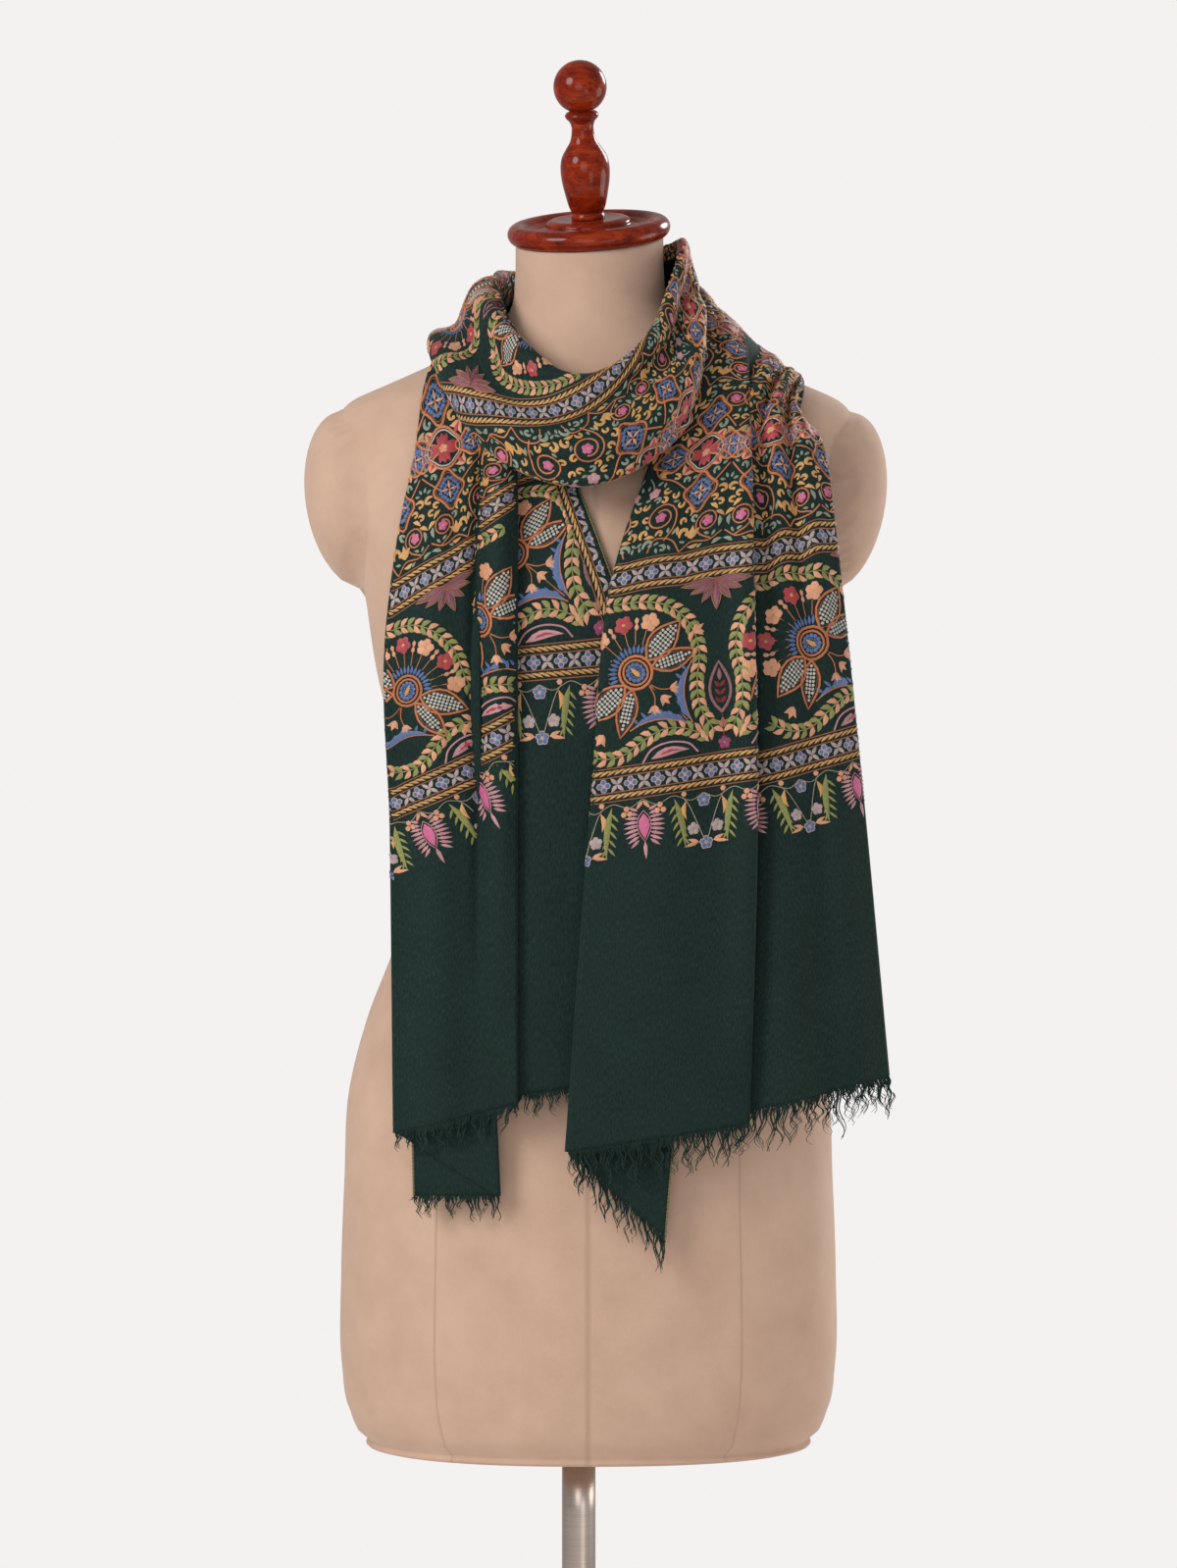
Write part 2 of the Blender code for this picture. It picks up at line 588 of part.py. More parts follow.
def build_bands(bodies, ends, fronts, where, finish):
    """The cloth round the neck, worked out in one sweep between the ends and then parted into its stretches."""
    stations = np.array(WRAP_STATIONS, float)
    turns = np.linspace(BANDS[0][1], BANDS[-1][2], SWEEP_ROWS)
    spread = np.linspace(-1, 1, BAND_COLUMNS)
    share = 0.5 + 0.5 * spread * (FACE_SHARE + (1 - FACE_SHARE) * spread**2)
    points = np.array([wrap_section(turn, share) for turn in turns])
    beneath = smooth(turns, stations[:, 0], stations[:, 6:8])
    lower = np.clip((share - 0.5) * 2 * WRAP_REACH / (math.pi / 2), 0, 1)
    lifts = beneath[:, :1] * (1 - lower) + beneath[:, 1:] * lower
    over_ends = (turns > OVER_ENDS[0]) & (turns < OVER_ENDS[1])
    for _ in range(2):
        points[0], points[-1] = end_row(*ends["right"], share), end_row(*ends["left"], share)
        points[1:-1] = push_clear(points[1:-1], lifts[1:-1], bodies)
        points[over_ends] = push_clear(points[over_ends], 0.0, fronts)
        points = relax(points, 1)
    points = points + band_pleats(points, turns, share)
    points[1:-1] = push_clear(points[1:-1], 0.0, bodies)
    half_seam = math.degrees(SEAM / 2 / stations[:, 1].mean())
    for name, first, last, rows in BANDS:
        start = first + half_seam * (END_SEAM if first == turns[0] else 1)
        stop = last - half_seam * (END_SEAM if last == turns[-1] else 1)
        cloth(name, smooth(np.linspace(start, stop, rows), turns, points), where, finish)


def build_fringe(name, top, spread, wave, length, strands, seed, where, finish):
    """Loose warp ends below a hem: a narrow strip that follows the hem, with strands drawn out of it."""
    chance = np.random.default_rng(seed)
    count = 2 * strands + 1
    measured = np.concatenate([[0.0], np.cumsum(np.linalg.norm(np.diff(top, axis=0), axis=1))])
    at = np.linspace(0, measured[-1], count + 1)
    line = np.stack([np.interp(at, measured, top[:, axis]) for axis in range(3)], axis=1)
    along = np.gradient(line, axis=0)
    normal = np.stack([along[:, 1], -along[:, 0], np.zeros(len(line))], axis=1)
    normal /= np.linalg.norm(normal, axis=1)[:, None]
    line[:, 2] -= GAP + WALL / 4
    mesh = bmesh.new()
    rings = []
    for point, out in zip(line, normal):
        half = out * STRIP_WIDTH / 2
        low = np.array([0.0, 0.0, STRIP_HEIGHT])
        corners = (point + half, point - half, point - half - low, point + half - low)
        rings.append([mesh.verts.new(tuple(corner)) for corner in corners])
    loose = []
    for index, (ring, after) in enumerate(zip(rings, rings[1:])):
        for side in range(4):
            other = (side + 1) % 4
            face = mesh.faces.new((ring[side], ring[other], after[other], after[side]))
            if side == 2 and index % 2:
                loose.append(face)
    mesh.faces.new(rings[0])
    mesh.faces.new(list(reversed(rings[-1])))
    for number, face in enumerate(loose):
        reach = length * chance.uniform(0.55, 1.25)
        side = 2 * number / max(1, len(loose) - 1) - 1
        swing = np.array([spread * side + chance.normal(0, 0.0012), chance.normal(0, 0.0012)])
        phase = chance.uniform(0, 2 * math.pi)
        for segment in range(1, STRAND_SEGMENTS + 1):
            made = bmesh.ops.extrude_discrete_faces(mesh, faces=[face])
            face = made["faces"][0]
            share = segment / STRAND_SEGMENTS
            step = swing / STRAND_SEGMENTS
            bend = wave * math.sin(phase + share * 5.0) / STRAND_SEGMENTS
            move = Vector((step[0] + bend, step[1], -reach / STRAND_SEGMENTS))
            centre = face.calc_center_median()
            size = 0.80 if segment < STRAND_SEGMENTS else 0.45
            for vertex in face.verts:
                vertex.co = centre + (vertex.co - centre) * size + move
    bmesh.ops.recalc_face_normals(mesh, faces=mesh.faces)
    data = bpy.data.meshes.new(name)
    mesh.to_mesh(data)
    mesh.free()
    item = bpy.data.objects.new(name, data)
    where.objects.link(item)
    data.materials.append(finish)
    return item


def build_shawl(where, finish, form, cap):
    bpy.context.view_layer.update()
    body, collar = surface_of(form), surface_of(cap)
    ends = {}
    plan = {
        "right": (RIGHT_FOLDS, (3, 5, 1, 4, 2), RIGHT_SHOULDER, 0, 1),
        "left": (LEFT_FOLDS, (3, 1, 5, 3, 3), LEFT_SHOULDER, 540, -1),
    }
    for side, (folds, steps, shoulder, turn, heading) in plan.items():
        columns = fold_columns(folds, steps)
        low = np.linspace(HEM, BORDER, 4)
        high = np.linspace(BORDER, shoulder - SEAM, 16)[1:]
        rows = np.concatenate([low, high])
        points, lifts = hanging_end(folds, columns, rows, shoulder, turn, heading)
        points = fan_pleats(points, side, folds, columns, rows, shoulder)
        fade = np.clip((shoulder - rows) / (shoulder - CHEST), 0, 1)[:, None]
        points = push_clear(points, fade * lifts + (1 - fade) * TUCK_LIFT, [body])
        cloth(f"{side}_end", points, where, finish)
        ends[side] = (folds, columns, points)
    fronts = [front_surface(*ends["right"], "inner_fold", 1), front_surface(*ends["left"], "outer_fold", -1)]
    build_bands([body, collar], ends, fronts, where, finish)
    for number, (side, fold, strands, length, spread, wave) in enumerate(FRINGES):
        folds, columns, points = ends[side]
        on = panel_columns(folds, columns, fold)
        name = f"fringe_{side}_{fold}"
        build_fringe(name, points[0][on], spread, wave, length, strands, 7 + number, where, finish)


clear_scene()
parts = collection("pashmina_shawl_on_dress_form")
guides = collection("guides")
cover = material("form_cover", (0.58, 0.42, 0.33), 0.85)
wood = material("cap_wood", (0.22, 0.035, 0.012), 0.22)
steel = material("stand_steel", (0.56, 0.54, 0.52), 0.32, 1.0)
pashmina = material("shawl_cloth", (0.012, 0.045, 0.038), 0.75)
dress_form = build_form(parts, guides, cover)
neck_cap, _ = build_cap(parts, wood)
build_stand(parts, steel)
build_shawl(parts, pashmina, dress_form, neck_cap)
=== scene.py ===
"""The looks of a pashmina shawl on a dress form: a studio, the form's cover, wood and steel, the draped
cloth, its silk embroidery, its stitched edging and its fringe.

Metres, +Z up, the front faces -Y. Right and left are the viewer's. Embroidery is drawn in mm of flat cloth.
"""

import math

import bpy
import numpy as np
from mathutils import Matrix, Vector
from mathutils.bvhtree import BVHTree


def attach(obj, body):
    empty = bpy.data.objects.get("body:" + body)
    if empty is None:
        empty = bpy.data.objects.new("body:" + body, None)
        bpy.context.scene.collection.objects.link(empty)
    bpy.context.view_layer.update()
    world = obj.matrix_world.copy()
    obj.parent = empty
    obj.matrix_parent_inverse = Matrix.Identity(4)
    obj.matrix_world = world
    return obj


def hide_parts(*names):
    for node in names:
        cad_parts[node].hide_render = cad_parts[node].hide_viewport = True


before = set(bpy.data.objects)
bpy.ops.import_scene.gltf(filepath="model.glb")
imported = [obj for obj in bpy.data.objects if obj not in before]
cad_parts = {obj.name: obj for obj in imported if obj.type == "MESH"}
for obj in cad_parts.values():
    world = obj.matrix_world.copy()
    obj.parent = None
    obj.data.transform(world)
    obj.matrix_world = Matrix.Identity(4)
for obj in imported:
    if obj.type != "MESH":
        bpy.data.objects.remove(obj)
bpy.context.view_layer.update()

# ---------------- the room
# A pale matt studio floor under the stand and an even pale surround, lit by one broad soft light from the
# upper left, weaker ones in front and low down, and two at the right, level and high behind. Nothing here
# belongs to the object.

SURROUND = (0.86, 0.83, 0.81)
SURROUND_STRENGTH = 0.50
BACKDROP_TONE = (0.905, 0.880, 0.878)
FLOOR_RINGS = (0.0, 0.5, 1.0, 1.6, 2.3)  # radii
FLOOR_SIDES, FLOOR_DROP = 96, 0.0005
LAMP_TONE, LAMP_AIM = (1.0, 0.965, 0.93), (0.0, 0.0, 1.15)
LAMPS = (
    # name, place, width, watts
    ("key", (-2.1, -1.9, 2.5), 1.5, 72.0),
    ("front", (-0.3, -3.0, 1.3), 1.6, 15.0),
    ("low", (1.3, -2.3, 0.45), 1.0, 5.5),
    ("side", (2.2, 0.3, 1.0), 1.2, 15.0),
    ("rim", (1.5, 1.6, 2.4), 0.9, 30.0),
)
CAMERA_AIM = (0.007, 0.0, 1.1167)
CAMERA_DISTANCE = 3.4
CAMERA_RISE = math.radians(2.0)
VIEW_HEIGHT = 1.119  # what the picture takes in at the pole's axis


def feed(node, values):
    """Sets a shader node's inputs by name, each to a value or to the output of another node."""
    for name, value in values.items():
        if isinstance(value, bpy.types.NodeSocket):
            node.id_data.links.new(value, node.inputs[name])
        else:
            node.inputs[name].default_value = value


def uneven_group():
    """The shader group behind every uneven surface here: noise over stretched coordinates, between two tones.

    Value is the bare noise. Colour is the colour that comes in times the tone between Dark and Light that
    the noise gives from Low to High, as far as Amount says.
    """
    group = bpy.data.node_groups.new("uneven", "ShaderNodeTree")
    for name, kind, value in (
        ("Coordinates", "NodeSocketVector", (0.0, 0.0, 0.0)),
        ("Stretch", "NodeSocketVector", (1.0, 1.0, 1.0)),
        ("Detail", "NodeSocketFloat", 3.0),
        ("Roughness", "NodeSocketFloat", 0.5),
        ("Low", "NodeSocketFloat", 0.3),
        ("High", "NodeSocketFloat", 0.7),
        ("Dark", "NodeSocketColor", (0.0, 0.0, 0.0, 1.0)),
        ("Light", "NodeSocketColor", (1.0, 1.0, 1.0, 1.0)),
        ("Colour", "NodeSocketColor", (1.0, 1.0, 1.0, 1.0)),
        ("Amount", "NodeSocketFloat", 1.0),
    ):
        group.interface.new_socket(name, in_out="INPUT", socket_type=kind).default_value = value
    group.interface.new_socket("Colour", in_out="OUTPUT", socket_type="NodeSocketColor")
    group.interface.new_socket("Value", in_out="OUTPUT", socket_type="NodeSocketFloat")
    taken, given = group.nodes.new("NodeGroupInput"), group.nodes.new("NodeGroupOutput")
    stretched = group.nodes.new("ShaderNodeMapping")
    noise = group.nodes.new("ShaderNodeTexNoise")
    share = group.nodes.new("ShaderNodeMapRange")
    tone, shaded = group.nodes.new("ShaderNodeMix"), group.nodes.new("ShaderNodeMix")
    noise.inputs["Scale"].default_value = 1.0
    tone.data_type = "RGBA"
    shaded.data_type, shaded.blend_type = "RGBA", "MULTIPLY"
    for start, output, end, taker in (
        (taken, "Coordinates", stretched, "Vector"),
        (taken, "Stretch", stretched, "Scale"),
        (stretched, "Vector", noise, "Vector"),
        (taken, "Detail", noise, "Detail"),
        (taken, "Roughness", noise, "Roughness"),
        (noise, "Fac", share, "Value"),
        (taken, "Low", share, "From Min"),
        (taken, "High", share, "From Max"),
        (share, "Result", tone, "Factor"),
        (taken, "Dark", tone, "A"),
        (taken, "Light", tone, "B"),
        (taken, "Amount", shaded, "Factor"),
        (taken, "Colour", shaded, "A"),
        (tone, "Result", shaded, "B"),
        (shaded, "Result", given, "Colour"),
        (noise, "Fac", given, "Value"),
    ):
        group.links.new(start.outputs[output], end.inputs[taker])
    return group


UNEVEN = uneven_group()


def uneven(tree, coordinates, stretch, detail=3.0, roughness=0.5, **values):
    """The uneven group in a material: its Colour and its Value. A tone is linear red, green and blue."""
    node = tree.nodes.new("ShaderNodeGroup")
    node.node_tree = UNEVEN
    stretch = stretch if isinstance(stretch, tuple) else (stretch,) * 3
    feed(node, {"Coordinates": coordinates, "Stretch": stretch, "Detail": detail, "Roughness": roughness})
    feed(node, {name: (*value, 1.0) if isinstance(value, tuple) else value for name, value in values.items()})
    return node.outputs["Colour"], node.outputs["Value"]


def new_material(name):
    """An empty material: its node tree, its Principled shader and its object coordinates."""
    made = bpy.data.materials.new(name)
    made.use_nodes = True
    tree = made.node_tree
    shader = tree.nodes["Principled BSDF"]
    place = tree.nodes.new("ShaderNodeTexCoord")
    return made, tree, shader, place


def mesh_piece(name, points, faces, material, uv=None):
    """A smooth shaded mesh object at the origin; uv is one pair a point."""
    points = np.ascontiguousarray(points, np.float32)
    faces = np.asarray(faces, np.int32)
    mesh = bpy.data.meshes.new(name)
    mesh.vertices.add(len(points))
    mesh.vertices.foreach_set("co", points.ravel())
    corners = faces.shape[1]
    mesh.loops.add(faces.size)
    mesh.loops.foreach_set("vertex_index", faces.ravel())
    mesh.polygons.add(len(faces))
    mesh.polygons.foreach_set("loop_start", np.arange(0, faces.size, corners, dtype=np.int32))
    mesh.update(calc_edges=True)
    if uv is not None:
        layer = mesh.uv_layers.new(name="flat")
        layer.data.foreach_set("uv", np.asarray(uv, np.float32)[faces.ravel()].ravel())
    mesh.shade_smooth()
    mesh.materials.append(material)
    item = bpy.data.objects.new(name, mesh)
    bpy.context.scene.collection.objects.link(item)
    return item


def grid_faces(rows, columns, closed=False):
    """Quads of a grid of points stored row by row; a closed grid joins each row's ends."""
    steps = columns if closed else columns - 1
    row, column = np.meshgrid(np.arange(rows - 1), np.arange(steps), indexing="ij")
    after = (column + 1) % columns
    low, high = row * columns, (row + 1) * columns
    return np.stack([low + column, low + after, high + after, high + column], axis=-1).reshape(-1, 4)


def full_turn(count):
    """So many even angles round a circle."""
    return np.linspace(0, 2 * math.pi, count, endpoint=False)


floor_paint, tree, shader, place = new_material("studio_floor")
tone, _ = uneven(tree, place.outputs["Object"], 3.0, Dark=(0.80, 0.77, 0.75), Light=(0.84, 0.81, 0.79))
feed(shader, {"Base Color": tone, "Roughness": 0.85})

around = full_turn(FLOOR_SIDES)
floor_points = [(r * math.cos(a), r * math.sin(a), -FLOOR_DROP) for r in FLOOR_RINGS for a in around]
floor_faces = grid_faces(len(FLOOR_RINGS), FLOOR_SIDES, closed=True)[:, [0, 3, 2, 1]]
floor = mesh_piece("studio_floor", floor_points, floor_faces, floor_paint)

world = bpy.data.worlds.new("studio")
bpy.context.scene.world = world
world.use_nodes = True
tree = world.node_tree
surround = tree.nodes["Background"]
feed(surround, {"Color": (*SURROUND, 1.0), "Strength": SURROUND_STRENGTH})
backdrop = tree.nodes.new("ShaderNodeBackground")
seen = tree.nodes.new("ShaderNodeLightPath")
both = tree.nodes.new("ShaderNodeMixShader")
feed(backdrop, {"Color": (*BACKDROP_TONE, 1.0)})
feed(both, {"Fac": seen.outputs["Is Camera Ray"]})
tree.links.new(surround.outputs["Background"], both.inputs[1])
tree.links.new(backdrop.outputs["Background"], both.inputs[2])
tree.links.new(both.outputs["Shader"], tree.nodes["World Output"].inputs["Surface"])

for name, spot, width, power in LAMPS:
    lamp = bpy.data.lights.new(name, "AREA")
    lamp.shape = "DISK"
    lamp.size = width
    lamp.energy = power
    lamp.color = LAMP_TONE
    light = bpy.data.objects.new(name, lamp)
    bpy.context.scene.collection.objects.link(light)
    light.location = spot
    light.rotation_euler = (Vector(LAMP_AIM) - Vector(spot)).to_track_quat("-Z", "Y").to_euler()

view = bpy.data.cameras.new("camera")
view.sensor_fit = "VERTICAL"
view.angle = 2 * math.atan(VIEW_HEIGHT / 2 / CAMERA_DISTANCE)
camera = bpy.data.objects.new("camera", view)
bpy.context.scene.collection.objects.link(camera)
aim = Vector(CAMERA_AIM)
camera.location = aim + CAMERA_DISTANCE * Vector((0.0, -math.cos(CAMERA_RISE), math.sin(CAMERA_RISE)))
camera.rotation_euler = (aim - camera.location).to_track_quat("-Z", "Y").to_euler()
bpy.context.scene.camera = camera
bpy.context.scene.view_settings.view_transform = "Standard"

# ---------------- the form's cover
# A hard moulded torso under a cover of short-pile beige jersey, cut in panels that meet in seams at the
# centre, along the bust on each side and at the sides. The arm openings are closed by domed caps of the
# same cloth.

NECK_X = 0.0077
NECK_TOP = 1.503
TILT_FORWARD, TILT_LEFT = math.radians(13), math.radians(3.6)
FORM_RINGS = (
    # height, centre_x, half_width, front, back, squareness, tilt_share
    (0.6400, 0.007, 0.105, 0.062, 0.060, 2.3, 0.0),
    (0.6425, 0.007, 0.142, 0.088, 0.084, 2.3, 0.0),
    (0.6500, 0.007, 0.158, 0.099, 0.097, 2.3, 0.0),
    (0.6700, 0.007, 0.171, 0.108, 0.108, 2.3, 0.0),
    (0.7020, 0.007, 0.1765, 0.112, 0.114, 2.3, 0.0),
    (0.7660, 0.007, 0.177, 0.112, 0.118, 2.3, 0.0),
    (0.8360, 0.007, 0.1745, 0.109, 0.117, 2.3, 0.0),
    (0.8990, 0.007, 0.171, 0.103, 0.109, 2.3, 0.0),
    (0.9500, 0.007, 0.158, 0.096, 0.098, 2.3, 0.0),
    (1.0000, 0.008, 0.140, 0.088, 0.086, 2.3, 0.0),
    (1.0600, 0.009, 0.126, 0.085, 0.079, 2.3, 0.0),
    (1.1300, 0.010, 0.138, 0.098, 0.086, 2.3, 0.0),
    (1.2040, 0.011, 0.156, 0.114, 0.098, 2.4, 0.0),
    (1.2450, 0.011, 0.162, 0.115, 0.103, 2.4, 0.0),
    (1.2900, 0.012, 0.170, 0.107, 0.105, 2.4, 0.0),
    (1.3300, 0.012, 0.178, 0.094, 0.101, 2.4, 0.0),
    (1.3600, 0.012, 0.182, 0.083, 0.095, 2.4, 0.0),
    (1.3780, 0.012, 0.183, 0.076, 0.088, 2.3, 0.0),
    (1.3900, 0.012, 0.172, 0.072, 0.082, 2.2, 0.0),
    (1.4000, 0.012, 0.150, 0.068, 0.076, 2.1, 0.0),
    (1.4120, 0.011, 0.122, 0.064, 0.070, 2.0, 0.0),
    (1.4250, 0.010, 0.094, 0.060, 0.064, 2.0, 0.0),
    (1.4400, 0.009, 0.069, 0.056, 0.058, 2.0, 0.1),
    (1.4560, 0.008, 0.0565, 0.0535, 0.054, 2.0, 0.3),
    (1.4780, NECK_X, 0.0530, 0.0520, 0.0520, 2.0, 0.7),
    (NECK_TOP, NECK_X, 0.0525, 0.0520, 0.0520, 2.0, 1.0),
)
ARM_CAPS = (
    # centre_x, height, radius_x, radius_y, radius_z, lean_degrees
    (-0.160, 1.319, 0.0345, 0.050, 0.0640, -9.0),
    (0.186, 1.318, 0.0325, 0.050, 0.0640, 9.0),
)
COVER_BANDS = (
    # from height, to height, rows
    (0.640, 0.650, 8),
    (0.650, 1.360, 109),
    (1.360, 1.440, 44),
    (1.440, NECK_TOP, 23),
)
COVER_SEAMS = (-180, -146, -90, -34, 0, 34, 90, 146, 180)  # degrees round from the front's centre
COLUMNS_PER_SEAM = 22
SEAM_AXIS = (0.010, 0.0)
SEAM_HALF, SEAM_FAR = 0.0014, 0.05  # half a seam's width, and a distance that shows none
SEAMS_TOP, SEAMS_FADE = 1.385, 0.01  # the height that they end at, and over how much they do
CAP_PROUD = 0.0005  # a cap that stands out further than this hides the panel seams
CAP_SEAM_REACH, CAP_SEAM_START, CAP_SEAM_SLOPE = 0.02, 0.0004, 1.4  # the seam round a cap


def smooth(at, knots, values):
    """A cubic curve through values (one row a knot), whose slopes come from the neighbouring knots."""
    at, knots, values = np.asarray(at, float), np.asarray(knots, float), np.asarray(values, float)
    slopes = np.gradient(values, knots, axis=0)
    place = np.clip(np.searchsorted(knots, at, side="right") - 1, 0, len(knots) - 2)
    width = knots[place + 1] - knots[place]
    share = (at - knots[place]) / width
    shape = share.shape + (1,) * (values.ndim - 1)
    share, width = share.reshape(shape), width.reshape(shape)
    start = (1 + 2 * share) * (1 - share) ** 2 * values[place]
    leave = share * (1 - share) ** 2 * width * slopes[place]
    end = share**2 * (3 - 2 * share) * values[place + 1]
    arrive = share**2 * (share - 1) * width * slopes[place + 1]
    return start + leave + end + arrive


def closed_rings(rings, low, high):
    """Points and triangles of rings of points, one to a row, with a fan round a middle point at each end."""
    rows, columns = rings.shape[:2]
    quads = grid_faces(rows, columns, closed=True)
    column = np.arange(columns)
    after, top, middle = (column + 1) % columns, (rows - 1) * columns, np.full(columns, rows * columns)
    low_fan = np.stack([middle, after, column], axis=1)
    high_fan = np.stack([middle + 1, top + column, top + after], axis=1)
    points = np.vstack([rings.reshape(-1, 3), low, high])
    return points, np.concatenate([quads[:, [0, 1, 2]], quads[:, [0, 2, 3]], low_fan, high_fan])


def bump(tree, height, distance, strength=1.0, before=None):
    """The normal of a relief, on top of the normal before it if there is one."""
    node = tree.nodes.new("ShaderNodeBump")
    feed(node, {"Strength": strength, "Distance": distance, "Height": height})
    if before is not None:
        feed(node, {"Normal": before})
    return node.outputs["Normal"]


def form_section(height):
    """centre_x, half_width, front, back, squareness and tilt_share of the torso at a height."""
    rings = np.array(FORM_RINGS)
    return smooth(height, rings[:, 0], rings[:, 1:])


def squared(wave, power):
    """A sine or cosine to a power with its sign kept, which squares an oval off."""
    return np.sign(wave) * np.abs(wave) ** power


def cover_surface(turns, heights):
    """The torso: at each height a squared oval, of a half width and front and back depths from the rings."""
    section = form_section(heights)[:, None, :]
    centre, half, front, back, power, share = np.moveaxis(section, 2, 0)
    across = squared(np.sin(turns)[None, :], 2 / power)
    along = squared(-np.cos(turns)[None, :], 2 / power)
    x = centre + half * across
    y = np.where(along < 0, front, back) * along
    z = heights[:, None] + share * (y * math.tan(TILT_FORWARD) + (x - centre) * math.tan(TILT_LEFT))
    return np.stack([x, y, z], axis=-1)


def arm_cap_reach(points, centre_x, height, radius_x, radius_y, radius_z, lean):
    """How far out an arm cap's ellipsoid lies on the level line from the torso's axis through each point."""
    lean = math.radians(lean)
    start = points * [0.0, 0.0, 1.0] + [NECK_X, 0.0, 0.0]
    way = points - start
    reach = np.linalg.norm(way, axis=-1)
    way = way / np.maximum(reach, 1e-6)[..., None]
    turn = np.array([[math.cos(lean), 0, -math.sin(lean)], [0, 1, 0], [math.sin(lean), 0, math.cos(lean)]])
    size = np.array([radius_x, radius_y, radius_z])
    p = (start - np.array([centre_x, 0.0, height])) @ turn.T / size
    w = way @ turn.T / size
    a, b, c = (w * w).sum(-1), (p * w).sum(-1), (p * p).sum(-1) - 1
    inside = b * b - a * c
    hit = (-b + np.sqrt(np.maximum(inside, 0))) / a
    return np.where(inside > 0, hit, -1.0), reach, start, way


seam_turns = np.radians(COVER_SEAMS)
cover_turns = np.concatenate(
    [np.linspace(a, b, COLUMNS_PER_SEAM + 1)[:-1] for a, b in zip(seam_turns, seam_turns[1:])]
)
cover_heights = np.concatenate(
    [np.linspace(low, high, rows + 1)[:-1] for low, high, rows in COVER_BANDS] + [[NECK_TOP]]
)
cover_points = cover_surface(cover_turns, cover_heights)
seam_gap = np.abs(cover_turns[:, None] - seam_turns[None, :]).min(axis=1)[None, :]
seam_distance = seam_gap * np.linalg.norm(cover_points[..., :2] - SEAM_AXIS, axis=-1)
for cap in ARM_CAPS:
    hit, reach, start, way = arm_cap_reach(cover_points, *cap)
    proud = hit - reach
    cover_points = np.where((proud > 0)[..., None], start + way * hit[..., None], cover_points)
    round_cap = np.abs(proud) * CAP_SEAM_SLOPE + CAP_SEAM_START
    seam_distance = np.where(proud > CAP_PROUD, SEAM_FAR, seam_distance)
    seam_distance = np.minimum(seam_distance, np.where(np.abs(proud) < CAP_SEAM_REACH, round_cap, SEAM_FAR))
seam_distance = seam_distance + SEAM_FAR * np.clip((cover_heights - SEAMS_TOP) / SEAMS_FADE, 0, 1)[:, None]

cover_cloth, tree, shader, place = new_material("form_cover")
at = place.outputs["Object"]
_, pile = uneven(tree, at, 900.0, 2.0)
tone, _ = uneven(tree, at, 26.0, 4.0, 0.6, Dark=(0.455, 0.308, 0.230), Light=(0.515, 0.357, 0.270))
tone, _ = uneven(tree, at, 7.0, 2.0, Colour=tone, Dark=(0.94, 0.92, 0.91))
seam_value = tree.nodes.new("ShaderNodeAttribute")
seam_value.attribute_type, seam_value.attribute_name = "GEOMETRY", "seam"
seam_line = tree.nodes.new("ShaderNodeMapRange")
seam_line.interpolation_type = "SMOOTHSTEP"
feed(seam_line, {"From Min": 0.0, "From Max": SEAM_HALF, "Value": seam_value.outputs["Fac"]})
seamed = tree.nodes.new("ShaderNodeMix")
seamed.data_type = "RGBA"
feed(seamed, {"A": (0.40, 0.272, 0.202, 1.0), "Factor": seam_line.outputs["Result"], "B": tone})
normal = bump(tree, seam_line.outputs["Result"], 0.0006, 0.5)
feed(shader, {
    "Base Color": seamed.outputs["Result"],
    "Normal": bump(tree, pile, 0.0004, 0.5, normal),
    "Roughness": 0.88,
    "Specular IOR Level": 0.25,
    "Sheen Weight": 0.25,
    "Sheen Roughness": 0.5,
    "Sheen Tint": (0.95, 0.85, 0.78, 1.0),
})

closed_cover = closed_rings(cover_points, cover_points[0].mean(axis=0), cover_points[-1].mean(axis=0))
cover = mesh_piece("form_cover", *closed_cover, cover_cloth)
layer = cover.data.attributes.new("seam", "FLOAT", "POINT")
layer.data.foreach_set("value", np.append(seam_distance.ravel(), [SEAM_FAR, SEAM_FAR]).astype(np.float32))
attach(cover, "root")
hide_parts("dress_form")

# ---------------- the neck plate
# A turned mahogany plate with a rounded rim and a dished face, stained red and lacquered to a gloss. It is
# screwed down on the neck's end and leans with it.

PLATE_PROFILE = (
    (0.0500, 0.0000),
    (0.0545, 0.0010),
    (0.0572, 0.0040),
    (0.0580, 0.0075),
    (0.0568, 0.0112),
    (0.0535, 0.0138),
    (0.0492, 0.0142),
    (0.0455, 0.0126),
    (0.0432, 0.0106),
    (0.0400, 0.0100),
    (0.0330, 0.0104),
    (0.0308, 0.0112),
    (0.0298, 0.0140),
    (0.0282, 0.0152),
    (0.0180, 0.0156),
)
GAP = 0.0003


def lengths_along(line):
    """How far along a line each of its points lies."""
    return np.concatenate([[0.0], np.cumsum(np.linalg.norm(np.diff(line, axis=0), axis=1))])


def turned_surface(profile, sides=128, steps=6):
    """A profile of (radius, height), rounded by a cubic curve, turned round the axis and closed on it."""
    along = lengths_along(profile)
    fine = np.unique(np.concatenate([np.linspace(a, b, steps + 1) for a, b in zip(along, along[1:])]))
    radius, height = smooth(fine, along, profile).T[:, :, None]
    turns = full_turn(sides)
    rings = [radius * np.cos(turns), radius * np.sin(turns), np.repeat(height, sides, axis=1)]
    return closed_rings(np.stack(rings, axis=-1), (0, 0, height[0, 0]), (0, 0, height[-1, 0]))


